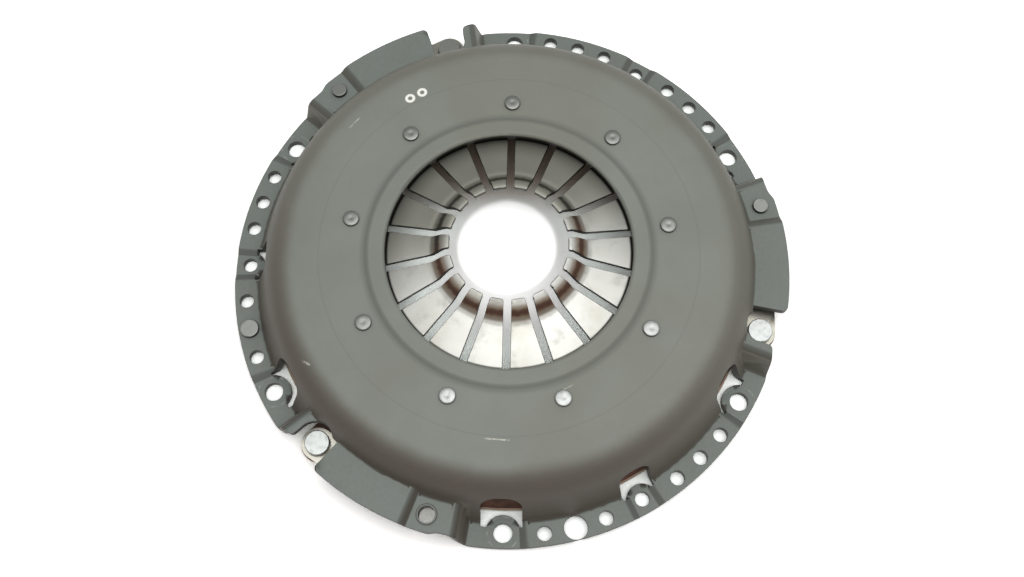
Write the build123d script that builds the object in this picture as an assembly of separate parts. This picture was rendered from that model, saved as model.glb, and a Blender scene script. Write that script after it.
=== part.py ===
"""Clutch pressure plate: a push-type diaphragm spring clutch cover assembly.

Frame: millimetres, +Z up along the clutch axis.  The origin is on that axis, in the plane of the
flange's mounting face.  The release side, with the spring's finger tips, is up, and the friction
face of the pressure plate looks down.  Angles are counted from +X towards +Y.
"""

from build123d import *
from build123d.topology import SkipClean
from math import atan2, cos, degrees, hypot, isclose, radians, sin, sqrt, tan
import os

# ---------------------------------------------------------------- cover: sheet and dome
SHEET = 4.0                    # thickness of the pressed sheet
BEND_RADIUS = 2.4              # inside radius of the pressed bends
STEP_BEND_RADIUS = 1.5         # inside radius of the bends in the folds between flats
BEND_SHARE = 0.9               # most that a bend may take of the straight beside it
BEND_LAND = 0.2                # least straight left inside the shoulder's bend
SPRING_RIVET_CIRCLE_RADIUS = 78.0
OPENING_RADIUS = SPRING_RIVET_CIRCLE_RADIUS - 18.0     # central opening
LIP_RADIUS = OPENING_RADIUS + 7.6      # outer end of the lip's band
PLATEAU_INNER_RADIUS = LIP_RADIUS + 2.0    # foot of the lip's step
PLATEAU_TOP = 35.2             # top of the flat that carries the spring rivets
LIP_TOP = PLATEAU_TOP + 1.8    # top of the raised lip, at the opening
LIP_FALL = 0.7                 # the lip's band falls this much outwards
PLATEAU_RADIUS = SPRING_RIVET_CIRCLE_RADIUS + 13.5     # outer end of the flat
SHOULDER_SLOPE = 6.3           # degrees, the fall of the dome outside the plateau
SHOULDER_RADIUS = 17.0         # round between the dome and the wall
WALL_SLOPE = 69.6              # degrees from the horizontal
LIP_EDGE_ROUND = 1.8

# ---------------------------------------------------------------- cover: flange
STRAP_COUNT = 3
SECTOR = 360 / STRAP_COUNT     # the flange repeats with each strap
STRAP_ANGLES = [index * SECTOR for index in range(STRAP_COUNT)]
HOLLOW_SECTOR = STRAP_ANGLES[-1]   # the strap sector that is held by the hollow rivet
BALANCE_SECTOR = STRAP_ANGLES[1]   # the strap sector before the balance rivet
HOLE_SECTOR_MIDDLE = SECTOR / 2
FLANGE_RADIUS = 138.1
PAD_TOP = SHEET                # pads that lie on the flywheel
SEGMENT_RAISE = 1.5            # the segments with small holes stand this much higher than the pads
SEGMENT_TOP = PAD_TOP + SEGMENT_RAISE
WALL_FOOT_RADIUS = FLANGE_RADIUS - 12.1    # outside of the wall at WALL_FOOT_HEIGHT
WALL_FOOT_HEIGHT = SEGMENT_TOP
ROOF_TOP = 20.0                # roof of the strap tunnel
ROOF_RADIUS = FLANGE_RADIUS - 0.2
SKIRT_TOP = ROOF_TOP + 1.0     # height at which the sectors of the wall join the dome
STRAP_PAD_TOP = ROOF_TOP - 2.5     # seat of the strap's rivet
STRAP_WAIST_RADIUS = FLANGE_RADIUS - 1.8   # rim of the seat beyond the rivet
EAR_RADIUS = FLANGE_RADIUS - 4.0       # corner of the short ear on the far side of the lug notch

# angles from the middle of a strap sector, in degrees
STRAP_COVER_ANGLE = 14.3       # rivet that holds the strap on the cover
STRAP_LUG_ANGLE = -14.2        # rivet that holds the strap on the plate's lug
BOLT_ANGLE = SECTOR / 4
BOLT_PAD_START = BOLT_ANGLE - 6.9      # pad of the bolt after the strap sector
BOLT_PAD_END = BOLT_ANGLE + 3.2
SEGMENT_START = BOLT_PAD_END + 2.2
MIDDLE_PAD_START = HOLE_SECTOR_MIDDLE - 2.0    # narrow pad between two raised segments
SEGMENT_END = MIDDLE_PAD_START - 2.2
STRAP_PAD_END = BOLT_PAD_START - 4.0
STRAP_PAD_START = STRAP_COVER_ANGLE - 2.9
ROOF_END = STRAP_PAD_START - 2.5
EAR_START = -BOLT_PAD_START + 4.2
LUG_NOTCH_START = STRAP_LUG_ANGLE - 3.8
LUG_NOTCH_END = STRAP_LUG_ANGLE + 4.1
STRAP_WAIST_START = STRAP_COVER_ANGLE + 2.9    # the rim has turned in to the waist here
STRAP_BULGE_END = STRAP_COVER_ANGLE + 1.1      # the rim starts to turn in here

# ---------------------------------------------------------------- cover: holes, windows and rim
BOLT_CIRCLE_RADIUS = FLANGE_RADIUS - 7.1
BOLT_HOLE_RADIUS = 4.5
BOLT_LOBE_RADIUS = 8.4
SMALL_HOLE_CIRCLE_RADIUS = FLANGE_RADIUS - 5.75
SMALL_HOLE_RADIUS = 3.5
SMALL_HOLE_OFFSETS = (8.5, 15.0, 21.5)   # degrees each side of the middle of a hole sector
MIDDLE_HOLE_CIRCLE_RADIUS = FLANGE_RADIUS - 6.8
MIDDLE_LOBE_RADIUS = 7.4
DOWEL_HOLE_RADIUS = 5.65
DOWEL_ANGLE = HOLLOW_SECTOR + HOLE_SECTOR_MIDDLE - SMALL_HOLE_OFFSETS[1]
BALANCE_ANGLE = BALANCE_SECTOR + HOLE_SECTOR_MIDDLE + SMALL_HOLE_OFFSETS[1]
BOLT_WINDOW_WIDTH = 18.6
BOLT_WINDOW_TOP = 22.5
MIDDLE_WINDOW_WIDTH = 15.6
MIDDLE_WINDOW_TOP = 20.0
WINDOW_DEPTH = 18.0
LUG_NOTCH_RADIUS = 8.6
LUG_NOTCH_SQUARE = 6.5         # the notch is square to this depth inside the rivet, on the roof's side
NOTCH_OVERRUN = 5.0
RIM_CORNER_ROUND = 2.5         # corners of the rim at the notch's mouth
RIM_BLEND_ROUND = 6.0          # where the rim turns in or out slightly

# ---------------------------------------------------------------- straps and their rivets
LEAF_COUNT = 3
LEAF_THICKNESS = 0.8
LEAF_WIDTH = 15.5
LEAF_FLAT = 11.0               # straight end of a leaf, from the rivet's axis to the first bend
STRAP_COVER_RADIUS = FLANGE_RADIUS - 8.35
STRAP_LUG_RADIUS = FLANGE_RADIUS - 10.3
STRAP_LUG_TOP = 9.4            # top of the pack where it lies on the lug
STRAP_RIVET_RADIUS = 3.0
STRAP_RIVET_HEAD_RADIUS = 3.9
STRAP_RIVET_HEAD_HEIGHT = 2.2
STRAP_RIVET_FOOT_RADIUS = 5.4
STRAP_RIVET_FOOT_HEIGHT = 2.0
HOLLOW_RIVET_BORE_RADIUS = 3.9
HOLLOW_RIVET_RADIUS = 4.6
HOLLOW_RIVET_FLANGE_RADIUS = 5.0
HOLLOW_RIVET_FLANGE_HEIGHT = 0.6
LUG_RIVET_RADIUS = 3.9
LUG_RIVET_HEAD_RADIUS = 6.0
LUG_RIVET_HEAD_HEIGHT = 2.8
BALANCE_HEAD_RADIUS = 4.65
BALANCE_HEAD_HEIGHT = 2.0
BALANCE_FOOT_RADIUS = 3.8
BALANCE_FOOT_HEIGHT = 0.8
RIVET_HEAD_ROUND = 0.5

# ---------------------------------------------------------------- pressure plate
FRICTION_HEIGHT = 2.0          # friction face above the mounting plane, spring relaxed
FRICTION_OUTER_RADIUS = WALL_FOOT_RADIUS - 5.5
FRICTION_INNER_RADIUS = FRICTION_OUTER_RADIUS - 43.5
PLATE_THICKNESS = 10.5
PLATE_RIM_HEIGHT = 2.4         # machined band at the foot of the rim
PLATE_RIM_STEP = 0.9
PLATE_TOP_OUTER_RADIUS = FRICTION_OUTER_RADIUS - 4.3
FULCRUM_RADIUS = FRICTION_OUTER_RADIUS - 14.0
FULCRUM_HALF_WIDTH = 2.2
FULCRUM_FOOT_HALF_WIDTH = 5.0
FULCRUM_GAP_COUNT = 18
FULCRUM_GAP_WIDTH = 7.0
FULCRUM_ROUND = 1.4
PLATE_EDGE_ROUND = 2.0
PLATE_EDGE_BREAK = 0.8         # round of the friction face's two edges
LUG_RADIUS = 8.2
LUG_LIFT = 0.6                 # underside of a lug above the friction face
STRAP_RELIEF = 1.2             # the plate is cut back this far round each strap

# ---------------------------------------------------------------- diaphragm spring
SPRING_THICKNESS = 2.5
SPRING_SLOPE = 11.1            # degrees, the free cone
SPRING_RADIUS = FULCRUM_RADIUS + 3.0
FINGER_COUNT = 18
FIRST_SLOT_ANGLE = 90
FINGER_SLOT_WIDTH = 3.7
FINGER_KEYHOLE_RADIUS = 5.6
TIP_RADIUS = 28.3
TIP_FLAT_RADIUS = TIP_RADIUS + 2.9     # where the flat of the tip starts
TIP_CORNER = 1.0
KINK_RADIUS = TIP_FLAT_RADIUS + 5.8    # foot of the kink
KINK_SLOPE = 46.0
KINK_BEND = 4.0                # radius of the middle surface at both ends of the kink

# ---------------------------------------------------------------- spring rivets and pivot rings
SPRING_RIVET_COUNT = FINGER_COUNT // 2     # one in every second slot
SPRING_RIVET_ANGLES = [
    FIRST_SLOT_ANGLE + index * 360 / SPRING_RIVET_COUNT for index in range(SPRING_RIVET_COUNT)
]
SPRING_RIVET_HEAD_RADIUS = 3.95
SPRING_RIVET_HEAD_HEIGHT = 1.5
SPRING_RIVET_TENON_RADIUS = 2.7
SPRING_RIVET_SHANK_RADIUS = 4.0
SPRING_RIVET_COLLAR_RADIUS = 9.0
SPRING_RIVET_COLLAR_HEIGHT = 2.8
PIVOT_WIRE_RADIUS = 1.7

# ---------------------------------------------------------------- fits
FACE_GAP = 0.05                # between a wire ring and what it bears on
SHANK_CLEARANCE = 0.05         # radial, between a rivet and its hole
RING_CLEARANCE = 0.2           # between a wire ring and the rivets' shanks
FULCRUM_GAP = 0.2              # between the plate's fulcrum and the relaxed spring
OVERLAP = 3.0                  # how far a folded step or a cutter runs on past its edge
OVERLAP_ANGLE = 1.0            # the same for the rim's outline, in degrees
THROUGH = 60.0                 # length of a cutter that passes right through


def polar(radius, angle, z=0.0):
    """Point at a radius and an angle in degrees."""
    return Vector(radius * cos(radians(angle)), radius * sin(radians(angle)), z)


def upright(radius, angle, z=0.0):
    """Place at a radius and an angle, with X pointing outwards."""
    return Location(polar(radius, angle, z), (0, 0, angle))


def cylinder(radius, bottom, top, place=None):
    """Upright cylinder between two heights, on the place's axis."""
    solid = Cylinder(radius, top - bottom, align=(Align.CENTER, Align.CENTER, Align.MIN))
    solid = Pos(0, 0, bottom) * solid
    return place * solid if place else solid


def turned(points, rounds=None):
    """Face in the XZ plane from (radius, height) points, with {point index: fillet radius}."""
    face = make_face(Polyline(*[(x, z) for x, z in points], close=True))
    for index, radius in (rounds or {}).items():
        x, z = points[index]
        corner = face.vertices().sort_by_distance((x, z, 0))[0]
        face = fillet(corner, radius)
    return Plane.XZ * face


def turn(face, start=0.0, end=360.0):
    """Solid turned about the Z axis from a start angle to an end angle."""
    return Rot(0, 0, start) * revolve(face, Axis.Z, end - start)


def sheet_below(points):
    """Points of a strip of sheet whose upper side runs along the given points."""
    def normal(a, b):
        length = hypot(b[0] - a[0], b[1] - a[1])
        return (b[1] - a[1]) / length, -(b[0] - a[0]) / length

    sides = [normal(a, b) for a, b in zip(points, points[1:])]
    sides = [sides[0]] + sides + [sides[-1]]
    lower = []
    for point, before, after in zip(points, sides, sides[1:]):
        scale = SHEET / (1 + before[0] * after[0] + before[1] * after[1])
        x = point[0] + scale * (before[0] + after[0])
        z = point[1] + scale * (before[1] + after[1])
        lower.append((x, z))
    return list(points) + lower[::-1]


def wall_outside(z):
    """Radius of the wall's outer face at a height."""
    return WALL_FOOT_RADIUS - (z - WALL_FOOT_HEIGHT) / tan(radians(WALL_SLOPE))


def wall_inside(z):
    """Radius of the wall's inner face at a height."""
    return wall_outside(z) - SHEET / sin(radians(WALL_SLOPE))


# ---------------------------------------------------------------- cover
def dome_face():
    """Section of the lip, the plateau, the shoulder and the upper end of the wall."""
    fall = tan(radians(SHOULDER_SLOPE))
    rise = tan(radians(WALL_SLOPE))
    # where the sloping shoulder and the wall would meet
    wall_foot = WALL_FOOT_RADIUS + WALL_FOOT_HEIGHT / rise
    corner_z = (PLATEAU_TOP - fall * (wall_foot - PLATEAU_RADIUS)) / (1 - fall / rise)
    corner_radius = wall_outside(corner_z)
    upper = [
        (OPENING_RADIUS, LIP_TOP),
        (LIP_RADIUS, LIP_TOP - LIP_FALL),
        (PLATEAU_INNER_RADIUS, PLATEAU_TOP),
        (PLATEAU_RADIUS, PLATEAU_TOP),
        (corner_radius, corner_z),
        (wall_outside(SKIRT_TOP), SKIRT_TOP),
    ]
    points = sheet_below(upper)
    points[6] = (wall_inside(SKIRT_TOP), SKIRT_TOP)
    half_turn = tan(radians(WALL_SLOPE - SHOULDER_SLOPE) / 2)
    straight = min(
        (corner_radius - PLATEAU_RADIUS) / cos(radians(SHOULDER_SLOPE)),
        (corner_z - SKIRT_TOP) / sin(radians(WALL_SLOPE)))
    straight_inside = (points[7][1] - SKIRT_TOP) / sin(radians(WALL_SLOPE))
    shoulder = min(
        SHOULDER_RADIUS,
        BEND_SHARE * straight / half_turn,
        SHEET + (straight_inside - BEND_LAND) / half_turn)
    rounds = {
        0: LIP_EDGE_ROUND,
        1: BEND_RADIUS,
        2: BEND_RADIUS,
        4: shoulder,
        7: shoulder - SHEET,
        9: BEND_RADIUS,
        10: BEND_RADIUS,
    }
    return turned(points, rounds)


def skirt_face(top):
    """Section of the wall's lower end with the flange that it turns out into."""
    under = top - SHEET
    points = [
        (wall_outside(SKIRT_TOP), SKIRT_TOP),
        (wall_outside(top), top),
        (FLANGE_RADIUS, top),
        (FLANGE_RADIUS, under),
        (wall_inside(under), under),
        (wall_inside(SKIRT_TOP), SKIRT_TOP),
    ]
    room = (SKIRT_TOP - top) / sin(radians(WALL_SLOPE)) / tan(radians(WALL_SLOPE / 2))
    bend = min(BEND_RADIUS, BEND_SHARE * room)
    return turned(points, {1: bend, 4: bend + SHEET})


def wall_face(bottom):
    """Section of the bare wall, down to a height."""
    points = [
        (wall_outside(SKIRT_TOP), SKIRT_TOP),
        (wall_outside(bottom), bottom),
        (wall_inside(bottom), bottom),
        (wall_inside(SKIRT_TOP), SKIRT_TOP),
    ]
    return turned(points)


def folded_step(angle_a, top_a, angle_b, top_b):
    """Fold between two flats that end at angle a and start at angle b, rounded at both bends."""
    middle = (angle_a + angle_b) / 2
    run = radians(angle_b - angle_a) * BOLT_CIRCLE_RADIUS
    rise = abs(top_a - top_b)
    bend = min(STEP_BEND_RADIUS, BEND_SHARE * ((run ** 2 / rise + rise) / 2 - SHEET) / 2)
    # half the tangent of the fold's angle, for which the slope and its two bends just fill the run
    bends = 2 * (2 * bend + SHEET) - rise
    half_turn = rise / (run + sqrt(run ** 2 - bends * rise))
    inset_a, inset_b = bend * half_turn, (bend + SHEET) * half_turn
    if top_a > top_b:
        inset_a, inset_b = inset_b, inset_a
    points = sheet_below([
        (-run / 2 - OVERLAP, top_a),
        (-run / 2 + inset_a, top_a),
        (run / 2 - inset_b, top_b),
        (run / 2 + OVERLAP, top_b),
    ])
    face = make_face(Polyline(*points, close=True))
    outer, inner = ((1, 5), (2, 6)) if top_a > top_b else ((2, 6), (1, 5))
    for indices, radius in ((outer, bend + SHEET), (inner, bend)):
        for index in indices:
            face = fillet(face.vertices().sort_by_distance((*points[index], 0))[0], radius)
    outward = Plane(origin=(0, 0, 0), x_dir=polar(1, middle + 90), z_dir=polar(1, middle))
    strip = extrude(outward * face, FLANGE_RADIUS + OVERLAP)
    ring = turned([
        ((wall_outside(0) + wall_inside(0)) / 2, 0),
        (FLANGE_RADIUS, 0),
        (FLANGE_RADIUS, SKIRT_TOP),
        ((wall_outside(SKIRT_TOP) + wall_inside(SKIRT_TOP)) / 2, SKIRT_TOP),
    ])
    spread = degrees((run / 2 + OVERLAP) / BOLT_CIRCLE_RADIUS) * 2
    step = strip & turn(ring, middle - spread, middle + spread)
    wall_a = turn(wall_face(top_a - SHEET), angle_a, middle)
    wall_b = turn(wall_face(top_b - SHEET), middle, angle_b)
    return [step, wall_a, wall_b]


def third_flats():
    """Flats of one third of the flange, from the middle of one strap sector to the next.

    Each is (start angle, end angle, top).
    """
    mirror = 2 * HOLE_SECTOR_MIDDLE
    return [
        (0, ROOF_END, ROOF_TOP),
        (STRAP_PAD_START, STRAP_PAD_END, STRAP_PAD_TOP),
        (BOLT_PAD_START, BOLT_PAD_END, PAD_TOP),
        (SEGMENT_START, SEGMENT_END, SEGMENT_TOP),
        (MIDDLE_PAD_START, mirror - MIDDLE_PAD_START, PAD_TOP),
        (mirror - SEGMENT_END, mirror - SEGMENT_START, SEGMENT_TOP),
        (mirror - BOLT_PAD_END, mirror - BOLT_PAD_START, PAD_TOP),
        (SECTOR + EAR_START, SECTOR, ROOF_TOP),
    ]


def rim_prism():
    """Upright prism inside the rim of one third of the flange.

    The rim is a chain of (angle, radius, corner round); points at one radius are joined by an arc.
    """
    chain = [
        (-OVERLAP_ANGLE, ROOF_RADIUS, 0),
        (STRAP_BULGE_END, ROOF_RADIUS, RIM_BLEND_ROUND),
        (STRAP_WAIST_START, STRAP_WAIST_RADIUS, RIM_BLEND_ROUND),
        (STRAP_PAD_END, STRAP_WAIST_RADIUS, RIM_BLEND_ROUND),
        (BOLT_PAD_START, FLANGE_RADIUS, 0),
        (SECTOR - BOLT_PAD_START, FLANGE_RADIUS, RIM_BLEND_ROUND),
        (SECTOR + LUG_NOTCH_START, EAR_RADIUS, RIM_CORNER_ROUND),
        (SECTOR + LUG_NOTCH_START, STRAP_LUG_RADIUS, 0),
        (SECTOR + LUG_NOTCH_END, STRAP_LUG_RADIUS, 0),
        (SECTOR + LUG_NOTCH_END, ROOF_RADIUS, RIM_CORNER_ROUND),
        (SECTOR + OVERLAP_ANGLE, ROOF_RADIUS, 0),
    ]
    axis = Vector(0, 0, 0)
    edges = [Line(axis, polar(chain[0][1], chain[0][0])), Line(polar(chain[-1][1], chain[-1][0]), axis)]
    for (start, radius, _), (end, next_radius, _) in zip(chain, chain[1:]):
        first, last = polar(radius, start), polar(next_radius, end)
        if isclose(radius, next_radius):
            edges.append(ThreePointArc(first, polar(radius, (start + end) / 2), last))
        else:
            edges.append(Line(first, last))
    face = make_face(edges)
    for angle, radius, size in chain:
        if size:
            face = fillet(face.vertices().sort_by_distance(polar(radius, angle))[0], size)
    return Pos(0, 0, -OVERLAP) * extrude(face, THROUGH)


def window(angle, width, top, lobe):
    """Cutter for an arched opening in the wall above a pad, which leaves the pad's lobe."""
    reach = wall_outside(PAD_TOP) + BEND_RADIUS * tan(radians(WALL_SLOPE / 2))
    outline = Ellipse(width / 2, top)
    plane = Plane(origin=polar(reach, angle), x_dir=polar(1, angle + 90), z_dir=polar(1, angle))
    return extrude(plane * outline, -WINDOW_DEPTH) - lobe


def lug_notch():
    """Cutter for the inner end of the notch over the lug: round, and square on the roof's side."""
    low, high = STRAP_LUG_TOP, SKIRT_TOP + NOTCH_OVERRUN
    inner, outer = STRAP_LUG_RADIUS - LUG_NOTCH_SQUARE, FLANGE_RADIUS + NOTCH_OVERRUN
    section = turned([(inner, low), (outer, low), (outer, high), (inner, high)])
    round_end = cylinder(LUG_NOTCH_RADIUS, low, high, upright(STRAP_LUG_RADIUS, STRAP_LUG_ANGLE))
    return round_end + turn(section, STRAP_LUG_ANGLE, LUG_NOTCH_END)


def make_third(strap_angle):
    """One third of the cover, from the strap sector at the given angle to the next one."""
    flats = third_flats()
    pieces = []
    for start, end, top in flats:
        pieces.append(turn(skirt_face(top), start, end))
    for (_, angle_a, top_a), (angle_b, _, top_b) in zip(flats, flats[1:]):
        pieces += folded_step(angle_a, top_a, angle_b, top_b)

    cuts = [Rot(0, 0, SECTOR) * lug_notch()]
    for angle in (BOLT_ANGLE, 2 * HOLE_SECTOR_MIDDLE - BOLT_ANGLE):
        lobe = cylinder(BOLT_LOBE_RADIUS, 0, PAD_TOP, upright(BOLT_CIRCLE_RADIUS, angle))
        pieces.append(lobe)
        cuts.append(window(angle, BOLT_WINDOW_WIDTH, BOLT_WINDOW_TOP, lobe))
        cuts.append(cylinder(BOLT_HOLE_RADIUS, -1, THROUGH, upright(BOLT_CIRCLE_RADIUS, angle)))
    lobe = cylinder(MIDDLE_LOBE_RADIUS, 0, PAD_TOP, upright(MIDDLE_HOLE_CIRCLE_RADIUS, HOLE_SECTOR_MIDDLE))
    pieces.append(lobe)
    cuts.append(window(HOLE_SECTOR_MIDDLE, MIDDLE_WINDOW_WIDTH, MIDDLE_WINDOW_TOP, lobe))
    place = upright(MIDDLE_HOLE_CIRCLE_RADIUS, HOLE_SECTOR_MIDDLE)
    cuts.append(cylinder(SMALL_HOLE_RADIUS, -1, THROUGH, place))
    for offset in SMALL_HOLE_OFFSETS:
        for angle in (HOLE_SECTOR_MIDDLE - offset, HOLE_SECTOR_MIDDLE + offset):
            is_dowel = isclose(strap_angle + angle, DOWEL_ANGLE)
            radius = DOWEL_HOLE_RADIUS if is_dowel else SMALL_HOLE_RADIUS
            cuts.append(cylinder(radius, -1, THROUGH, upright(SMALL_HOLE_CIRCLE_RADIUS, angle)))
    rivet_radius = HOLLOW_RIVET_RADIUS if strap_angle == HOLLOW_SECTOR else STRAP_RIVET_RADIUS
    place = upright(STRAP_COVER_RADIUS, STRAP_COVER_ANGLE)
    cuts.append(cylinder(rivet_radius + SHANK_CLEARANCE, 0, THROUGH, place))
    tenon_hole = SPRING_RIVET_TENON_RADIUS + SHANK_CLEARANCE
    for angle in SPRING_RIVET_ANGLES:
        if (angle - strap_angle) % 360 < SECTOR:
            place = upright(SPRING_RIVET_CIRCLE_RADIUS, angle - strap_angle)
            cuts.append(cylinder(tenon_hole, 0, THROUGH, place))

    third = turn(dome_face(), 0, SECTOR)
    third = third.fuse(*pieces) & rim_prism()
    for cutter in cuts:
        third = third.cut(cutter)
    return Rot(0, 0, strap_angle) * third


def make_cover():
    """The pressed cover: three thirds that differ only in a few holes."""
    with SkipClean():
        thirds = [make_third(angle) for angle in STRAP_ANGLES]
        return thirds[0].fuse(*thirds[1:])


# ---------------------------------------------------------------- spring and pivot
def pivot():
    """Radius and height of the spring's middle surface at the pivot, and the wires' offset from it.

    The lower wire passes just outside the rivets' shanks and the upper one bears on the cover.
    """
    offset = SPRING_THICKNESS / 2 + PIVOT_WIRE_RADIUS + FACE_GAP
    slope = radians(SPRING_SLOPE)
    lower_radius = SPRING_RIVET_CIRCLE_RADIUS + SPRING_RIVET_SHANK_RADIUS + RING_CLEARANCE + PIVOT_WIRE_RADIUS
    upper_height = PLATEAU_TOP - SHEET - FACE_GAP - PIVOT_WIRE_RADIUS
    return lower_radius + offset * sin(slope), upper_height - offset * cos(slope), offset


def spring_height(radius):
    """Height of the spring's middle surface at a radius on its cone."""
    pivot_radius, pivot_height, _ = pivot()
    return pivot_height + (pivot_radius - radius) * tan(radians(SPRING_SLOPE))


def make_pivot_ring(side):
    """Wire ring on one side of the spring: 1 above it, -1 below it."""
    pivot_radius, pivot_height, offset = pivot()
    slope = radians(SPRING_SLOPE)
    ring_radius = pivot_radius + side * offset * sin(slope)
    return Pos(0, 0, pivot_height + side * offset * cos(slope)) * Torus(ring_radius, PIVOT_WIRE_RADIUS)


def make_spring():
    """Conical spring, kinked up to flat finger tips, with slots that end in keyholes."""
    tip_height = spring_height(KINK_RADIUS) + (KINK_RADIUS - TIP_FLAT_RADIUS) * tan(radians(KINK_SLOPE))
    middle = FilletPolyline(
        (TIP_RADIUS, tip_height),
        (TIP_FLAT_RADIUS, tip_height),
        (KINK_RADIUS, spring_height(KINK_RADIUS)),
        (SPRING_RADIUS, spring_height(SPRING_RADIUS)),
        radius=KINK_BEND)
    section = Plane.XZ * trace(middle, SPRING_THICKNESS)
    spring = revolve(section, Axis.Z, 360)
    slots = []
    for index in range(FINGER_COUNT):
        angle = FIRST_SLOT_ANGLE + index * 360 / FINGER_COUNT
        slot = Pos(SPRING_RIVET_CIRCLE_RADIUS / 2, 0, 0) * Box(
            SPRING_RIVET_CIRCLE_RADIUS, FINGER_SLOT_WIDTH, THROUGH,
            align=(Align.CENTER, Align.CENTER, Align.MIN))
        slots.append(Rot(0, 0, angle) * slot)
        slots.append(cylinder(FINGER_KEYHOLE_RADIUS, 0, THROUGH, upright(SPRING_RIVET_CIRCLE_RADIUS, angle)))
    spring = spring.cut(*slots)
    corners = [
        edge for edge in spring.edges().filter_by(Axis.Z)
        if hypot(edge.center().X, edge.center().Y) < TIP_RADIUS + TIP_CORNER
    ]
    return fillet(corners, TIP_CORNER)


def make_spring_rivets():
    """Nine shouldered rivets: head, tenon through the cover, shank and the collar under the lower ring."""
    _, pivot_height, offset = pivot()
    under_cover = PLATEAU_TOP - SHEET
    collar_top = pivot_height - offset * cos(radians(SPRING_SLOPE)) - PIVOT_WIRE_RADIUS - FACE_GAP
    section = turned([
        (0, collar_top - SPRING_RIVET_COLLAR_HEIGHT),
        (SPRING_RIVET_COLLAR_RADIUS, collar_top - SPRING_RIVET_COLLAR_HEIGHT),
        (SPRING_RIVET_COLLAR_RADIUS, collar_top),
        (SPRING_RIVET_SHANK_RADIUS, collar_top),
        (SPRING_RIVET_SHANK_RADIUS, under_cover),
        (SPRING_RIVET_TENON_RADIUS, under_cover),
        (SPRING_RIVET_TENON_RADIUS, PLATEAU_TOP),
        (SPRING_RIVET_HEAD_RADIUS, PLATEAU_TOP),
        (SPRING_RIVET_HEAD_RADIUS, PLATEAU_TOP + SPRING_RIVET_HEAD_HEIGHT),
        (0, PLATEAU_TOP + SPRING_RIVET_HEAD_HEIGHT),
    ], {1: RIVET_HEAD_ROUND, 8: RIVET_HEAD_ROUND})
    rivet = turn(section)
    return Compound([upright(SPRING_RIVET_CIRCLE_RADIUS, angle) * rivet for angle in SPRING_RIVET_ANGLES])


# ---------------------------------------------------------------- straps and their rivets
def strap_ends(strap_angle):
    """Axes of the cover rivet and of the lug rivet of one strap pack."""
    cover_end = polar(STRAP_COVER_RADIUS, strap_angle + STRAP_COVER_ANGLE)
    lug_end = polar(STRAP_LUG_RADIUS, strap_angle + STRAP_LUG_ANGLE)
    return cover_end, lug_end


def make_leaf(strap_angle, index):
    """One leaf of a pack, counted from the top; it drops from the cover's seat to the lug."""
    cover_end, lug_end = strap_ends(strap_angle)
    along = lug_end - cover_end
    length = along.length
    cover_top = STRAP_PAD_TOP - SHEET - index * LEAF_THICKNESS
    lug_top = STRAP_LUG_TOP - index * LEAF_THICKNESS
    reach = LEAF_WIDTH / 2
    top = [
        (-reach, cover_top),
        (LEAF_FLAT, cover_top),
        (length - LEAF_FLAT, lug_top),
        (length + reach, lug_top),
    ]
    under = [(x, z - LEAF_THICKNESS) for x, z in reversed(top)]
    side = make_face(Polyline(*top, *under, close=True))
    leaf = extrude(Plane.XZ * side, LEAF_WIDTH / 2, both=True)
    outline = SlotCenterToCenter(length, LEAF_WIDTH)
    leaf = leaf & extrude(Pos(length / 2, 0, 0) * outline, THROUGH)
    hollow = strap_angle == HOLLOW_SECTOR
    cover_hole = (HOLLOW_RIVET_RADIUS if hollow else STRAP_RIVET_RADIUS) + SHANK_CLEARANCE
    leaf -= cylinder(cover_hole, 0, THROUGH)
    leaf -= Pos(length, 0, 0) * cylinder(LUG_RIVET_RADIUS + SHANK_CLEARANCE, 0, THROUGH)
    turn_angle = degrees(atan2(along.Y, along.X))
    return Location(cover_end, (0, 0, turn_angle)) * leaf


def make_strap_rivet(strap_angle):
    """Solid rivet that holds a pack under its seat on the cover."""
    low = STRAP_PAD_TOP - SHEET - LEAF_COUNT * LEAF_THICKNESS
    section = turned([
        (0, low - STRAP_RIVET_FOOT_HEIGHT),
        (STRAP_RIVET_FOOT_RADIUS, low - STRAP_RIVET_FOOT_HEIGHT),
        (STRAP_RIVET_FOOT_RADIUS, low),
        (STRAP_RIVET_RADIUS, low),
        (STRAP_RIVET_RADIUS, STRAP_PAD_TOP),
        (STRAP_RIVET_HEAD_RADIUS, STRAP_PAD_TOP),
        (STRAP_RIVET_HEAD_RADIUS, STRAP_PAD_TOP + STRAP_RIVET_HEAD_HEIGHT),
        (0, STRAP_PAD_TOP + STRAP_RIVET_HEAD_HEIGHT),
    ], {1: RIVET_HEAD_ROUND, 6: RIVET_HEAD_ROUND})
    return upright(STRAP_COVER_RADIUS, strap_angle + STRAP_COVER_ANGLE) * turn(section)


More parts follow.
